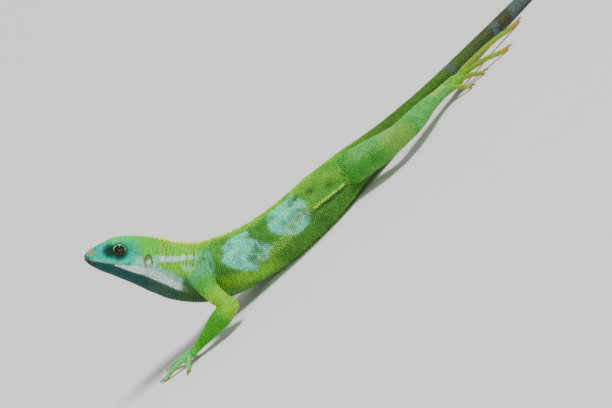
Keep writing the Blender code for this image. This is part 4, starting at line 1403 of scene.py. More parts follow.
def on_skin(points, outwards, reach):
    """The nearest places on the skin, the skin's direction there, and whether each is close enough."""
    places, facing = np.zeros_like(points), np.zeros_like(points)
    kept = np.zeros(len(points), bool)
    for i, (point, way) in enumerate(zip(points, outwards)):
        spot, normal, _, gap = skin_tree.find_nearest(point * MM)
        places[i], facing[i] = spot, normal
        kept[i] = gap < reach * MM and np.dot(normal, way) > TURNED_AWAY
    places /= MM
    return places, facing, kept & ~((places[:, 2] < FLAT_UNDER) & (facing[:, 2] < FACING_DOWN))


def stack_scales(form, places, facing, along, length, width, height):
    """All the points of many scales, one template's after another's."""
    points, _, _ = form
    along = unit(along - facing * (along * facing).sum(1)[:, None])
    across = np.cross(facing, along)
    made = places[:, None, :] + along[:, None, :] * (points[None, :, 0:1] * length[:, None, None])
    made += across[:, None, :] * (points[None, :, 1:2] * width[:, None, None])
    made += facing[:, None, :] * (points[None, :, 2:3] * height[:, None, None])
    made[:, :, 2] = np.maximum(made[:, :, 2], 0.0)
    return made.reshape(-1, 3)


def unwrapped(tube, at, angle, window):
    """Places on an unwrap of the tube: along it, and round it, in a window of the whole."""
    start, end, low, high = window
    share = np.clip((at - start) / (end - start), 0, 1)
    turn = low + (high - low) * ((angle / (2 * math.pi)) % 1.0)
    return np.stack([0.01 + 0.98 * share, 0.01 + 0.98 * turn], axis=1)


# %% One piece of coat
PATCH = 0.0014
SHADES = ("rise", "tint", "gilt")


def dress(obj, material):
    """Gives a piece its finish and its slot, and lets it ride."""
    obj.data.shade_smooth()
    obj.data.materials.append(material)
    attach(obj, "root")
    print(obj.name, "has", len(obj.data.polygons), "faces")


class Coat:
    """Scales gathered for one piece, with their colours and their places on an unwrap."""

    def __init__(self, name):
        self.name = name
        self.points, self.faces, self.unwrap, self.colour = [], [], [], []
        self.shades = {shade: [] for shade in SHADES}
        self.count = 0

    def add(self, form, places, facing, along, size, colour, spots, gilt):
        """Adds scales of one form. The size is each one's half length, half width and height."""
        template, faces, high = form
        n, m = len(places), len(template)
        self.points.append(stack_scales(form, places, facing, along, *size))
        self.faces.append((faces[None] + (self.count + np.arange(n) * m)[:, None, None]).reshape(-1, 3))
        self.count += n * m
        self.colour.append(np.repeat(colour, m, axis=0))
        self.shades["rise"].append(np.tile(high, n))
        self.shades["tint"].append(np.repeat(draws.random(n), m))
        self.shades["gilt"].append(np.repeat(gilt, m))
        self.unwrap.append((spots[:, None, :] + template[None, :, :2] * PATCH).reshape(-1, 2))

    def build(self, material):
        points, faces = np.vstack(self.points), np.vstack(self.faces)
        mesh = bpy.data.meshes.new(self.name)
        mesh.vertices.add(len(points))
        mesh.vertices.foreach_set("co", (points * MM).ravel())
        mesh.loops.add(faces.size)
        mesh.loops.foreach_set("vertex_index", faces.ravel().astype(np.int32))
        mesh.polygons.add(len(faces))
        mesh.polygons.foreach_set("loop_start", np.arange(0, faces.size, 3, dtype=np.int32))
        mesh.update(calc_edges=True)
        mesh.validate()
        obj = bpy.data.objects.new(self.name, mesh)
        bpy.context.scene.collection.objects.link(obj)
        for shade, values in self.shades.items():
            set_attribute(obj, shade, "FLOAT", np.concatenate(values))
        set_attribute(obj, "coat", "FLOAT_COLOR", np.vstack(self.colour))
        layer = mesh.uv_layers.new(name="OFBake")
        layer.data.foreach_set("uv", np.vstack(self.unwrap)[faces.ravel()].astype(np.float32).ravel())
        dress(obj, material)


# %% Rows of scales round a tube
ROW = 0.87
BETWEEN_ROWS = 12.0


def rows_on(tube, start, end, size, stretch):
    """Distances, angles and sizes for staggered rows. Columns are counted down from the upper side."""
    fan = np.radians(np.linspace(90, -90, 49))
    found = []
    at, odd = start, False
    while at < end:
        pitch = float(size(at))
        for side in (1, -1):
            angles = fan if side > 0 else math.pi - fan
            curve, _ = tube.surface(np.full(len(fan), at), angles)
            arc = arc_lengths(curve)
            first = 0.5 if not odd else (0.0 if side > 0 else 1.0)
            columns = np.arange(first * pitch, arc[-1], pitch)
            angle = np.interp(columns, arc, angles)
            found.append(np.stack([np.full(len(columns), at), angle, np.full(len(columns), pitch)], axis=1))
        at += pitch * ROW * stretch(at)
        odd = not odd
    found = np.vstack(found)
    if tube.name not in limbs:
        return found
    near_joint = np.abs(found[:, 0] - tube.keys[JOINT]) < BETWEEN_ROWS
    more = found[near_joint] + (0.5 * ROW, 0.0, 0.0) * found[near_joint, 2:3]
    return np.vstack([found, more])


# %% Room for each scale


def far_enough(places, apart):
    """Which places to keep, first ones first, so that none lie closer than a distance."""
    tree = tree_of(places)
    kept = np.ones(len(places), bool)
    for i, place in enumerate(places):
        if kept[i]:
            for _, j, _ in tree.find_range(place, apart[i]):
                kept[j] &= j <= i
    return kept


# %% Clothing a tube
JITTER = 0.07
FILL = 0.577 * 0.97
OVERLAP = 0.5
APART = 0.74
COAT_REACH = 2.6
WIDTH_SPREAD = 0.05
HEIGHT_SPREAD = 0.08
PLAIN_GILT, BODY_GILT, ROW_GILT = 0.06, 0.08, 0.32


def even(at):
    """Scales as long as they are wide."""
    return 1.0


def clothe(coat, tube, start, end, size, form, height, stretch=even, window=None, keep=None, bare=None):
    """Covers a stretch of a tube with rows of scales, apart from places that are to stay bare."""
    rows = rows_on(tube, start, end, size, stretch)
    if keep is not None:
        rows = rows[keep(rows[:, 0], rows[:, 1])]
    rows[:, 0] += draws.normal(0, JITTER, len(rows)) * rows[:, 2]
    points, outwards = tube.surface(np.clip(rows[:, 0], 0, tube.length), rows[:, 1])
    places, facing, kept = on_skin(points, outwards, COAT_REACH)
    colour, away = markings(places)
    kept &= away[tubes.index(tube)] < away.min(0) + OVERLAP
    if bare is not None:
        kept &= ~bare(places)
    kept[np.flatnonzero(kept)] = far_enough(places[kept], APART * rows[kept, 2])
    rows, places, facing, colour = rows[kept], places[kept], facing[kept], colour[kept]
    along = tube.axes(np.clip(rows[:, 0], 0, tube.length))[1]
    pitch = rows[:, 2] * (1 + draws.normal(0, WIDTH_SPREAD, len(rows)))
    tall = height * pitch * (1 + draws.normal(0, HEIGHT_SPREAD, len(rows)))
    long = FILL * pitch * np.array([stretch(a) for a in rows[:, 0]])
    spots = unwrapped(tube, rows[:, 0], rows[:, 1], window or (start, end, 0.0, 1.0))
    gilt = gilt_of(tube, rows[:, 0], rows[:, 1])
    coat.add(form, places, facing, along, (long, FILL * pitch, tall), colour, spots, gilt)


def gilt_of(tube, at, angle):
    """How yellow the crowns of the scales are: strongest in rows low on the flank, before the groin."""
    if tube is not body:
        return np.full(len(at), PLAIN_GILT)
    low_rows = near_line(at, angle_from_back(angle), AMBER_ROWS, 9.0)
    return np.maximum(np.where(at < HEAD_END, 0.0, BODY_GILT), ROW_GILT * low_rows)


# %% [markdown]
# ## Finish of the scales
# A scale is clear keratin over pigment. Light glances softly off each crown, and towards the rim the colour
# is darkened as painted shade, so the seams read as fine dark lines. The shade from rim to crown is stored on
# each scale as it is built.

# %% Keratin
TIMES = {"operation": "MULTIPLY"}
TIMES_AND_PLUS = {"operation": "MULTIPLY_ADD"}
SCALED = {"operation": "SCALE"}
SCALE_ROUGH = (0.38, 0.56)
BLOTCH_MM = 3.8
POLISH_MM = 0.38


def per_metre(size_mm):
    """A pattern's scale for features of a size in mm, on coordinates in metres."""
    return 1.0 / (size_mm * MM)


def scale_finish(name, seam_shade, gold_hex):
    """Keratin over pigment: a soft gloss on each crown, painted shade darkening it towards the seam round it,
    fine mottling.
    """
    material, tree, shader = new_material(name)
    names = ("coat", "tint", "rise", "gilt")
    coat, tint, high, gilt = [node(tree, "ShaderNodeAttribute", {"attribute_name": n}) for n in names]
    where = node(tree, "ShaderNodeTexCoord").outputs["Object"]
    blotch = node(tree, "ShaderNodeTexNoise", Vector=where, Scale=per_metre(BLOTCH_MM), Detail=4.0)
    grain = node(tree, "ShaderNodeTexNoise", Vector=where, Scale=per_metre(POLISH_MM), Detail=2.0)
    by_scale = node(tree, "ShaderNodeMapRange", Value=tint.outputs["Fac"], i3=0.82, i4=1.18)
    by_blotch = node(tree, "ShaderNodeMapRange", Value=blotch, i1=0.3, i2=0.7, i3=0.84, i4=1.14)
    # painted shade: each scale's colour darkens from crown to rim
    rim_shade = node(tree, "ShaderNodeMapRange", Value=high.outputs["Fac"], i2=0.75, i3=seam_shade, i4=1.0)
    two = node(tree, "ShaderNodeMath", TIMES, i0=by_scale, i1=by_blotch)
    all_three = node(tree, "ShaderNodeMath", TIMES, i0=two, i1=rim_shade)
    shaded = node(tree, "ShaderNodeVectorMath", SCALED, i0=coat, Scale=all_three)
    crown = node(tree, "ShaderNodeMapRange", Value=high.outputs["Fac"], i1=0.5, i2=0.9)
    gold = node(tree, "ShaderNodeMath", TIMES, i0=crown, i1=gilt.outputs["Fac"])
    gold_colour = (*linear(gold_hex), 1)
    mixed = node(tree, "ShaderNodeMix", {"data_type": "RGBA"}, i0=gold, i6=shaded, i7=gold_colour)
    rough = node(tree, "ShaderNodeMapRange", Value=grain, i3=SCALE_ROUGH[0], i4=SCALE_ROUGH[1])
    bump = node(tree, "ShaderNodeBump", Height=grain, Strength=0.12, Distance=0.1 * MM)
    plug(tree, shader, Base_Color=mixed.outputs[2], Roughness=rough, Normal=bump, Specular_IOR_Level=0.14)
    return material


keratin = scale_finish("keratin_grains", 0.36, "C4EC58")
keratin_tail = scale_finish("keratin_keeled", 0.3, "8CB040")

# %% Places on the head that stay free of grains
LIP_BARE = 1.45
NOSTRIL_BARE = 1.35
LIDS_BARE = (4.15, 3.45)
EAR_BARE = (2.45, 3.85)
mouth_middle = mouth_line(0.0, 0.0, step=0.4)


def bare_face(places):
    """True where the lips, nostrils, lids and ears leave no room for grains."""
    gap = np.linalg.norm(places[:, None, :] - mouth_middle[None], axis=2).min(1)
    bare = gap < LIP_BARE
    for side in (-1, 1):
        centre, _, _, _ = nostril_axes(side)
        bare |= np.linalg.norm(places - centre, axis=1) < NOSTRIL_BARE
        centre, forwards, upwards, outwards = eye_axes(side)
        offset = places - centre
        in_lids = ((offset @ forwards) / LIDS_BARE[0]) ** 2 + ((offset @ upwards) / LIDS_BARE[1]) ** 2 < 1
        bare |= in_lids & (offset @ outwards > 0)
        centre, level, upright, outwards = ear_axes(side, 0.0)
        offset = places - centre
        in_ear = ((offset @ level) / EAR_BARE[0]) ** 2 + ((offset @ upright) / EAR_BARE[1]) ** 2 < 1
        bare |= in_ear & (offset @ outwards > -4.0)
    return bare


# %% Body coat
CROWN = {"end": 27.0, "from_back": 52.0, "size": 1.45}
BODY_GRAIN = [(0, 0.78), (30, 0.88), (50, 1.1), (80, 1.3), (190, 1.3), (240, 1.45), (420, 1.2), (600, 0.7)]
TAIL_COAT = 205.0
COAT_CUTS = [("scales_neck", HEAD_END, 92.0), ("scales_trunk", 92.0, 140.0)]
COAT_CUTS += [("scales_hips", 140.0, TAIL_COAT)]
DOME = {"face": 0.24, "crown": 0.16, "body": 0.28, "tail": 0.24, "limb": 0.28, "digit": 0.26}


def body_grain(at):
    """Scale width: fine on the head, even on the trunk, larger on the tail, fine at its tip."""
    return float(np.interp(at, *zip(*BODY_GRAIN)))


def crown_size(at):
    return CROWN["size"] * float(np.interp(at, [0, 8, 27], [0.75, 1.0, 0.8]))


def on_crown(at, angle):
    """The top of the head in front of the nape, where the scales are flat plates."""
    return (at < CROWN["end"]) & (angle_from_back(angle) < CROWN["from_back"] - 0.5 * at)


def off_crown(at, angle):
    return ~on_crown(at, angle)


coat = Coat("scales_head")
whole_head = (0.0, HEAD_END, 0.0, 1.0)
on_face = {"window": whole_head, "bare": bare_face}
clothe(coat, body, 1.2, HEAD_END, body_grain, GRAIN, DOME["face"], keep=off_crown, **on_face)
clothe(coat, body, 1.6, CROWN["end"], crown_size, PLATE, DOME["crown"], keep=on_crown, **on_face)
coat.build(keratin)
for name, start, end in COAT_CUTS:
    coat = Coat(name)
    clothe(coat, body, start, end, body_grain, GRAIN, DOME["body"])
    coat.build(keratin)

# %% Tail coat


def whorl(at):
    """Tail scales get longer than wide behind the hips, and stand in rings."""
    return float(np.interp(at, [205, 300], [1.0, 1.5]))


coat = Coat("scales_tail")
clothe(coat, body, TAIL_COAT, body.length - 0.5, body_grain, KEELED, DOME["tail"], stretch=whorl)
coat.build(keratin_tail)

# %% Limb coats
LIMB_GRAIN = (0.95, 1.3)
FINE_NEAR_JOINT = (5.0, 13.0)
DIGIT_GRAIN = 0.86
LIMB_START = 4.0
DIGIT_START = 0.5


def limb_grain(tube):
    """Scale width along a limb: finer on the elbow or knee, where the skin has to fold."""

    def size(at):
        return float(np.interp(abs(at - tube.keys[JOINT]), FINE_NEAR_JOINT, LIMB_GRAIN))

    return size


def digit_size(at):
    return DIGIT_GRAIN


for name, tube in limbs.items():
    coat = Coat("scales_" + name)
    strip = (LIMB_START, tube.length, 0.0, 0.6)
    clothe(coat, tube, LIMB_START, tube.length, limb_grain(tube), GRAIN, DOME["limb"], window=strip)
    for number in range(1, 6):
        digit = digits[f"{name}_{number}"]
        low = 0.62 + 0.07 * (number - 1)
        strip = (DIGIT_START, digit.length, low, low + 0.06)
        clothe(coat, digit, DIGIT_START, digit.length, digit_size, GRAIN, DOME["digit"], window=strip)
    coat.build(keratin)

# %% [markdown]
# ## Lips, lids, ear rims and crest
# The head's special scales are each set out along a line: flat plates above and below the mouth with a
# thin orange edge on the upper lip, three rings of beads round each eye, a ring round each ear, and the
# row of blunt spines down neck and back. One helper lays scales along any line. They are separate pieces
# from the grains because their forms differ; only the crest has a finish of its own.

# %% Scales along a line
TOUCHING = 1.02


def along_line(line, pitch):
    """Evenly spaced points on a line, and its direction at each."""
    line = np.asarray(line, float)
    arc = arc_lengths(line)
    wanted = spaced(0.5 * pitch, arc[-1] - 0.5 * pitch, pitch)
    found = np.stack([np.interp(wanted, arc, line[:, k]) for k in range(3)], axis=1)
    return found, unit(np.gradient(found, axis=0))


def lay(coat, form, line, pitch, wide, tall, colour=None, reach=1.6):
    """Lays one row of scales along a line over the skin of the head."""
    points, along = along_line(line, pitch)
    away_from_body = points - body.axes(body.locate(points)[0])[0]
    places, facing, kept = on_skin(points, away_from_body, reach)
    places, facing, along = places[kept], facing[kept], along[kept]
    n = len(places)
    at, angle, _ = body.locate(places)
    paint = markings(places)[0] if colour is None else colour(at, places)
    size = [np.full(n, 0.5 * pitch * TOUCHING), np.full(n, 0.5 * wide), np.full(n, tall)]
    size = [s * (1 + draws.normal(0, WIDTH_SPREAD, n)) for s in size]
    coat.add(form, places, facing, along, size, paint, unwrapped(body, at, angle, whole_head), np.zeros(n))


# %% Lips
LIP_EDGE = {"pitch": 1.0, "wide": 0.62, "tall": 0.26}
EDGE_UP = 0.42
LIP_PLATES = {"pitch": 2.0, "wide": 1.15, "tall": 0.2}
PLATES_UP = (1.2, -0.75)
LIP_GOLD = linear("C8821E")
LIP_GOLD_END = 21.0


def lip_colour(at, places):
    """Orange at the front of the upper lip, turning into the face's own colour below the eye."""
    own = markings(places)[0]
    share = (0.9 * (1 - rise(at, LIP_GOLD_END - 6, LIP_GOLD_END + 2)))[:, None]
    return own + (np.array(LIP_GOLD) - own) * share


lips = Coat("lip_plates")
lay(lips, GRAIN, mouth_line(EDGE_UP, 0.0), colour=lip_colour, **LIP_EDGE)
for up in PLATES_UP:
    lay(lips, PLATE, mouth_line(up, 0.0), **LIP_PLATES)
lips.build(keratin)

# %% Lids
# Each ring of beads: how large it is beside the opening, its pitch and its width.
LID_RINGS = [(1.08, 0.7, 0.78), (1.3, 0.78, 0.74), (1.5, 0.86, 0.8)]
LID_SCALE_REACH = 1.2
RING_TURN = 2 * math.pi * np.arange(49) / 48
LID_PALE = np.array(linear("C6F28C"))
LID_DARK = np.array(linear("4C5E2A"))


def lid_line(side, grow):
    """A ring round the eye's opening, on the ball of the lids."""
    centre, forwards, upwards, outwards = eye_axes(side)
    across, high = almond_outline(RING_TURN, grow)
    out = np.sqrt(np.maximum((EYE["radius"] + LID) ** 2 - across**2 - high**2, 0.6))
    return centre + np.outer(across, forwards) + np.outer(high, upwards) + np.outer(out, outwards)


def lid_colour(at, places):
    """Pale yellow-green above the eye, turning to a dull brown-green below it."""
    left = places[:, 1:2] < 0
    centre = np.where(left, eye_axes(-1)[0], eye_axes(1)[0])
    high = ((places - centre) * np.where(left, eye_axes(-1)[2], eye_axes(1)[2])).sum(1)
    share = np.clip(rise(-high, -0.6, 1.6) + draws.uniform(0.0, 0.15, len(places)), 0, 1)[:, None]
    return LID_PALE + (LID_DARK - LID_PALE) * share


lids = Coat("lid_beads")
for side in (-1, 1):
    grow, pitch, wide = LID_RINGS[0]
    lay(lids, GRAIN, lid_line(side, grow), pitch, wide, 0.3, colour=lid_colour, reach=LID_SCALE_REACH)
    for grow, pitch, wide in LID_RINGS[1:]:
        lay(lids, GRAIN, lid_line(side, grow), pitch, wide, 0.26, reach=LID_SCALE_REACH)
lids.build(keratin)

# %% Ear rims
RIM = {"pitch": 0.8, "wide": 0.8, "tall": 0.3}
RIM_GROW = 1.08
RIM_DARK = np.array(linear("1C3A26"))
RIM_WARM = np.array(linear("B49C6A"))


def ear_line(side, grow):
    """A ring round the ear's cup."""
    centre, level, upright, _ = ear_axes(side, 0.0)
    across = grow * CUP["half_width"] * np.cos(RING_TURN)
    high = grow * CUP["half_height"] * np.sin(RING_TURN)
    return centre + np.outer(across, level) + np.outer(high, upright)


def rim_colour(at, places):
    """Dark behind and above the ear, warm and pale in front of it."""
    share = rise(at - EAR["back"] + 0.5 * (places[:, 2] - ear_axes(1, 0.0)[0][2]), -1.0, 1.2)[:, None]
    return RIM_WARM + (RIM_DARK - RIM_WARM) * share


rims = Coat("ear_rims")
for side in (-1, 1):
    lay(rims, GRAIN, ear_line(side, RIM_GROW), colour=rim_colour, **RIM)
rims.build(keratin)

# %% [markdown]
# ## Crest
# Down the middle of nape and back stands a row of small blunt spines, pale yellow against the green. Each
# is a round cone that leans back a little. It is drawn up from a disc in two steps, with the last point
# pushed backwards, and the copies take their height from the same table as the solids' spines.

# %% Spines
SPINE_RINGS = [((0, 0, 0.45), (0.98, 0.98, 1)), ((0.16, 0, 0.42), (0.72, 0.7, 1))]
SPINE = as_template(drawn_up(8, SPINE_RINGS, (0.3, 0, 0.25)), 0.25)
SPINE_BASE, SPINE_GROWTH, SPINE_TALLER = 0.5, 0.36, 1.5
CREST_START = 32.0
CREST_GROWS = (28, 40)
CREST_SPREAD = (0.85, 1.1)
CREST_SWAY = 0.015
CREST_PALE = np.array(linear("C0E824"))
CREST_CREAM = np.array(linear("E8F850"))


def crest_colour(at, places):
    own = markings(places)[0]
    pale = CREST_PALE + (CREST_CREAM - CREST_PALE) * (1 - rise(at, 50, 75))[:, None]
    share = (0.95 - 0.3 * rise(at, 62, 120))[:, None]
    return own + (pale - own) * share


crest = Coat("crest_spines")
crest_at, *crest_rows = np.array(CREST).T
at, found = CREST_START, []
while at < crest_at[-1]:
    height, step = through(crest_at, np.array(crest_rows).T, max(at, crest_at[0]), limited=True)[0][0]
    found.append((at, height * float(rise(at, *CREST_GROWS)) * draws.uniform(*CREST_SPREAD)))
    at += step
at, height = np.array(found).T
points, upwards = body.surface(at, np.radians(90) + draws.normal(0, CREST_SWAY, len(at)))
places, facing, _ = on_skin(points, upwards, 2.0)
base = SPINE_BASE + SPINE_GROWTH * height
spots = unwrapped(body, at, np.full(len(at), math.pi / 2), (30.0, 210.0, 0.0, 1.0))
size = (base, base, SPINE_TALLER * height)
crest.add(SPINE, places, facing, body.axes(at)[1], size, crest_colour(at, places), spots, np.zeros(len(at)))
keratin_spine = scale_finish("keratin_spines", 0.45, "B4EE3A")
crest.build(keratin_spine)
print("spines in the crest:", len(at))

# %% [markdown]
# ## Eyes
# The eyeball is a wet ball with a clear bulge over a reddish-brown iris. Modelled: a sphere whose pole
# points out of the head, and the pole drawn outwards with soft falloff to make the bulge. The iris is
# painted by the ball's own measures, kept as an attribute: distance from the pole gives the rings, and
# the turn round it gives the streaks. Its tones are darkened by about half, as painted shade of the brow.
# A coat of clear gloss stands for the tear film.

# %% Setting a modelled piece in its place


def set_in_place(obj, name, centre, axes, material):
    """Moves a piece's mesh from the origin to its centre and axes, in mm, and dresses it."""
    turned = Matrix([[float(axes[k][row]) for k in range(3)] for row in range(3)])
    obj.data.transform(Matrix.Translation(Vector(centre) * MM) @ (turned * MM).to_4x4())
    obj.name = name
    obj.data.name = name
    outwards_faces(obj)
    dress(obj, material)


def draw_top(obj, above, by, reach):
    """Moves the points higher than a height up or down, and the ones near them softly with them."""
    bpy.ops.object.mode_set(mode="EDIT")
    bpy.ops.mesh.select_mode(type="VERT")
    bpy.ops.mesh.select_all(action="DESELECT")
    bpy.ops.object.mode_set(mode="OBJECT")
    for v in obj.data.vertices:
        v.select = v.co.z > above
    bpy.ops.object.mode_set(mode="EDIT")
    bpy.ops.transform.translate(
        value=(0, 0, by),
        use_proportional_edit=True,
        proportional_edit_falloff="SMOOTH",
        proportional_size=reach,
    )
    bpy.ops.object.mode_set(mode="OBJECT")


# %% Wet eyeball finish
PUPIL, GOLD_EDGE, IRIS, LIMBUS = 0.30, 0.36, 0.66, 0.74
STREAKS_ROUND = 11.0

eye_finish, tree, shader = new_material("wet_eye")
own = node(tree, "ShaderNodeAttribute", {"attribute_name": "own"})
parts = node(tree, "ShaderNodeSeparateXYZ", Vector=own.outputs["Vector"])
flat = node(tree, "ShaderNodeCombineXYZ", X=parts.outputs[0], Y=parts.outputs[1])
away_from_pole = node(tree, "ShaderNodeVectorMath", {"operation": "LENGTH"}, i0=flat)
turn = node(tree, "ShaderNodeVectorMath", {"operation": "NORMALIZE"}, i0=flat)
fine_turn = node(tree, "ShaderNodeVectorMath", SCALED, i0=turn, Scale=STREAKS_ROUND)
streaks = node(tree, "ShaderNodeTexNoise", Vector=fine_turn, Scale=1.6, Detail=5.0, Roughness=0.7)
wander = node(tree, "ShaderNodeMath", TIMES_AND_PLUS, i0=streaks, i1=0.06, i2=-0.03)
ring = node(tree, "ShaderNodeMath", {"operation": "ADD"}, i0=away_from_pole.outputs["Value"], i1=wander)
# Iris tones, all darkened by about half as painted shade of the brow.
stops = [
    (0.0, "050303"),
    (PUPIL, "070404"),
    (PUPIL + 0.02, "5A3418"),
    (GOLD_EDGE + 0.01, "220C06"),
    (0.54, "30120A"),
    (IRIS, "180905"),
    (LIMBUS, "100806"),
    (1.0, "1E120C"),
]
rings = node(tree, "ShaderNodeValToRGB", {"stops": stops}, Fac=ring)
light_streak = node(tree, "ShaderNodeMapRange", Value=streaks, i1=0.3, i2=0.7, i3=0.55, i4=1.5)
# the iris colour, which carries painted shade of the brow
iris_with_shade = node(tree, "ShaderNodeVectorMath", SCALED, i0=rings, Scale=light_streak)
film = node(tree, "ShaderNodeBump", Height=streaks, Strength=0.05, Distance=0.05 * MM)
wet = node(tree, "ShaderNodeMapRange", Value=streaks, i3=0.08, i4=0.16)
plug(tree, shader, Base_Color=iris_with_shade, Roughness=wet, Normal=film, IOR=1.376)
plug(tree, shader, Coat_Weight=0.35, Coat_Roughness=0.02)

# %% Eyeballs
BULGE = {"out": 0.28, "reach": 2.8}
POLE_ONLY = 0.001

for side, name, stands_for in ((-1, "eyeball_l", "eye_l"), (1, "eyeball_r", "eye_r")):
    deselect()
    bpy.ops.mesh.primitive_uv_sphere_add(segments=56, ring_count=40, radius=EYE["radius"])
    obj = bpy.context.active_object
    own = np.array([v.co for v in obj.data.vertices]) / EYE["radius"]
    draw_top(obj, EYE["radius"] - POLE_ONLY, BULGE["out"], BULGE["reach"])
    layer = obj.data.attributes.new("own", "FLOAT_VECTOR", "POINT")
    layer.data.foreach_set("vector", own.astype(np.float32).ravel())
    centre, *axes = eye_axes(side)
    set_in_place(obj, name, centre, axes, eye_finish)
    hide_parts(stands_for)

# %% [markdown]
# ## Ear drums
# An iguana's ear has no shell: a thin pale skin is stretched over a shallow hollow just behind the jaw.
# A flattened sphere would bulge, so its outer pole is drawn inwards, which gives the slight dish of a
# drum. Its finish is thin skin: pale cream clouded with grey-green, with fine veins and a faint sheen.

# %% Drum skin
DRUM = {"out": -1.25, "half_width": 1.95, "half_height": 3.1, "depth": 0.5, "dish": 0.42}
TO_EDGE = {"feature": "DISTANCE_TO_EDGE"}

drum_finish, tree, shader = new_material("stretched_drum_skin")
where = node(tree, "ShaderNodeTexCoord").outputs["Object"]
cloud = node(tree, "ShaderNodeTexNoise", Vector=where, Scale=per_metre(2.4), Detail=3.0)
veins = node(tree, "ShaderNodeTexVoronoi", TO_EDGE, Vector=where, Scale=per_metre(0.7))
stops = [(0.35, "5C6E46"), (0.65, "DCE6AC")]
tones = node(tree, "ShaderNodeValToRGB", {"stops": stops}, Fac=cloud)
by_vein = node(tree, "ShaderNodeMapRange", Value=veins, i2=0.08, i3=0.78, i4=1.0)
shade = node(tree, "ShaderNodeVectorMath", SCALED, i0=tones, Scale=by_vein)
sheen = node(tree, "ShaderNodeMapRange", Value=cloud, i3=0.3, i4=0.5)
relief = node(tree, "ShaderNodeBump", Height=veins, Strength=0.2, Distance=0.1 * MM)
plug(tree, shader, Base_Color=shade, Roughness=sheen, Normal=relief, Specular_IOR_Level=0.5)

# %% Drums
for side, name, stands_for in ((-1, "drum_l", "ear_l"), (1, "drum_r", "ear_r")):
    deselect()
    bpy.ops.mesh.primitive_uv_sphere_add(segments=36, ring_count=20, radius=1.0)
    obj = bpy.context.active_object
    bpy.ops.object.mode_set(mode="EDIT")
    bpy.ops.transform.resize(value=(DRUM["half_width"], DRUM["half_height"], DRUM["depth"]))
    draw_top(obj, DRUM["depth"] - POLE_ONLY, -DRUM["dish"], DRUM["half_width"])
    centre, *axes = ear_axes(side, DRUM["out"])
    set_in_place(obj, name, centre, axes, drum_finish)
    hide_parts(stands_for)

# %% [markdown]
# ## Nostril rims
# Each nostril opens in a raised scale of bright orange-yellow. A ring is the natural form: a torus, widened
# at its foot and pressed on the skin round the hole that the Boolean cut.

# %% Nostril rims
NOSTRIL_RIM = {"radius": 0.74, "thick": 0.52, "out": 0.12, "foot": 1.15, "foot_under": -0.1}

amber, tree, shader = new_material("keratin_amber")
where = node(tree, "ShaderNodeTexCoord").outputs["Object"]
cloud = node(tree, "ShaderNodeTexNoise", Vector=where, Scale=per_metre(0.9), Detail=3.0)
stops = [(0.3, "B07404"), (0.7, "DCA80C")]
tones = node(tree, "ShaderNodeValToRGB", {"stops": stops}, Fac=cloud)
gloss = node(tree, "ShaderNodeMapRange", Value=cloud, i3=0.25, i4=0.42)
relief = node(tree, "ShaderNodeBump", Height=cloud, Strength=0.15, Distance=0.1 * MM)
plug(tree, shader, Base_Color=tones, Roughness=gloss, Normal=relief)

for side, name in ((-1, "nostril_rim_l"), (1, "nostril_rim_r")):
    deselect()
    bpy.ops.mesh.primitive_torus_add(
        major_segments=28,
        minor_segments=12,
        major_radius=NOSTRIL_RIM["radius"],
        minor_radius=NOSTRIL_RIM["thick"],
    )
    obj = bpy.context.active_object
    for v in obj.data.vertices:
        v.select = v.co.z < NOSTRIL_RIM["foot_under"]
    bpy.ops.object.mode_set(mode="EDIT")
    bpy.ops.transform.resize(value=(NOSTRIL_RIM["foot"], NOSTRIL_RIM["foot"], 1))
    bpy.ops.object.mode_set(mode="OBJECT")
    centre, *axes = nostril_axes(side)
    spot = on_skin(np.array([centre]), np.array([axes[2]]), 5.0)[0][0]
    set_in_place(obj, name, spot + axes[2] * NOSTRIL_RIM["out"], axes, amber)

# %% [markdown]
# ## Claws
# Twenty claws, each a curved horn that tapers to a point and is flatter from side to side. One claw is
# drawn up from a disc in steps that move and shrink it along its curve. The copies are set on the tips of
# the digits, a little larger on the feet, and joined into one piece for each hand and foot.

# %% Claw horn
horn, tree, shader = new_material("claw_horn")
where = node(tree, "ShaderNodeTexCoord").outputs["Object"]
to_tip = node(tree, "ShaderNodeAttribute", {"attribute_name": "to_tip"})
fibre = node(tree, "ShaderNodeTexNoise", Vector=where, Scale=per_metre(0.35), Detail=4.0)
drift = node(tree, "ShaderNodeMath", TIMES_AND_PLUS, i0=fibre, i1=0.3, i2=-0.15)
place = node(tree, "ShaderNodeMath", {"operation": "ADD"}, i0=to_tip.outputs["Fac"], i1=drift)
stops = [(0.1, "C08A3C"), (0.95, "3A2412")]
tones = node(tree, "ShaderNodeValToRGB", {"stops": stops}, Fac=place)
gloss = node(tree, "ShaderNodeMapRange", Value=fibre, i3=0.22, i4=0.42)
relief = node(tree, "ShaderNodeBump", Height=fibre, Strength=0.15, Distance=0.08 * MM)
plug(tree, shader, Base_Color=tones, Roughness=gloss, Normal=relief, IOR=1.54)

# %% One claw, from its disc to its tip
CLAW_SIDES = 14
CLAW_STEPS = 10

shares = np.linspace(CLAW_SHAPE[0][0], CLAW_SHAPE[-1][0], CLAW_STEPS)
lift, thick = through([row[0] for row in CLAW_SHAPE], [row[1:] for row in CLAW_SHAPE], shares)[0].T
forth = np.diff(shares) * CLAW["length"]
upwards = np.diff(lift) * CLAW["length"] / CLAW["half_depth"]
rings = [((u, 0, f), (t, t, 1)) for u, f, t in zip(upwards[:-1], forth[:-1], thick[1:-1] / thick[:-2])]
claw_points, claw_faces, to_tip = as_template(drawn_up(CLAW_SIDES, rings, (upwards[-1], 0, forth[-1])), 0.0)
claw_points += (lift[0] * CLAW["length"] / CLAW["half_depth"], 0, shares[0] * CLAW["length"])
claw_points *= (CLAW["half_depth"], CLAW["half_width"], 1)
print("one claw has", len(claw_faces), "faces")

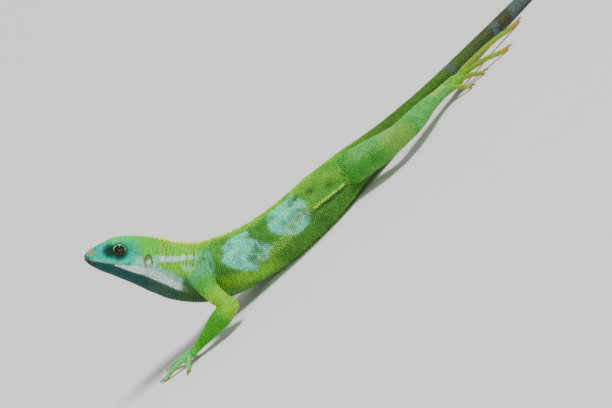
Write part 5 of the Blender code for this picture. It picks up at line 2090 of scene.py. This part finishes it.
# %% Twenty claws
CLAW_SIZE = {"arm": 1.0, "leg": 1.08}
for limb in limbs:
    part = "hand" if limb.startswith("arm") else "foot"
    name = f"claws_{part}_{limb[-1]}"
    pieces = []
    for number in range(1, 6):
        way = digit_ways[f"{limb}_{number}"]
        tip = digits[f"{limb}_{number}"].points[-1]
        points = (claw_points * CLAW_SIZE[limb[:3]]) @ np.array((UP, np.cross(way, UP), way)) + tip
        points[:, 2] = np.maximum(points[:, 2], 0.0)
        pieces.append((points, claw_faces.tolist()))
    obj = outwards_faces(object_from(name, pieces))
    set_attribute(obj, "to_tip", "FLOAT", np.tile(to_tip, len(pieces)))
    dress(obj, horn)

# %% [markdown]
# ## The skin between the scales
# Between the scales only slits of bare skin show. Stretched skin is softer and a little moister than
# keratin. It carries the same markings as the scales, darkened as painted shade of the slits, and darker
# still along its fine creases as painted shade, with a fine creased relief, so that any place without a
# scale still looks like the animal.

# %% Creased skin finish
CREASE_MM = 0.5

creased, tree, shader = new_material("creased_skin")
coat_colour = node(tree, "ShaderNodeAttribute", {"attribute_name": "coat"})
where = node(tree, "ShaderNodeTexCoord").outputs["Object"]
cells = node(tree, "ShaderNodeTexVoronoi", TO_EDGE, Vector=where, Scale=per_metre(CREASE_MM))
cloud = node(tree, "ShaderNodeTexNoise", Vector=where, Scale=per_metre(2.5), Detail=5.0)
# painted shade along the fine creases
crease_shade = node(tree, "ShaderNodeMapRange", Value=cells, i2=0.12, i3=0.7, i4=1.0)
by_cloud = node(tree, "ShaderNodeMapRange", Value=cloud, i1=0.3, i2=0.7, i3=0.85, i4=1.12)
both = node(tree, "ShaderNodeMath", TIMES, i0=crease_shade, i1=by_cloud)
shade = node(tree, "ShaderNodeVectorMath", SCALED, i0=coat_colour, Scale=both)
soft_gloss = node(tree, "ShaderNodeMapRange", Value=cloud, i3=0.5, i4=0.68)
relief = node(tree, "ShaderNodeBump", Height=cells, Strength=0.35, Distance=0.15 * MM)
plug(tree, shader, Base_Color=shade, Roughness=soft_gloss, Normal=relief, Specular_IOR_Level=0.3)
skin.data.materials.clear()
skin.data.materials.append(creased)
skin.data.polygons.foreach_set("material_index", np.zeros(len(skin.data.polygons), np.int32))
skin.data.shade_smooth()
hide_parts(*[n for n in frame["nodes"] if not n.startswith(("eye", "ear"))])
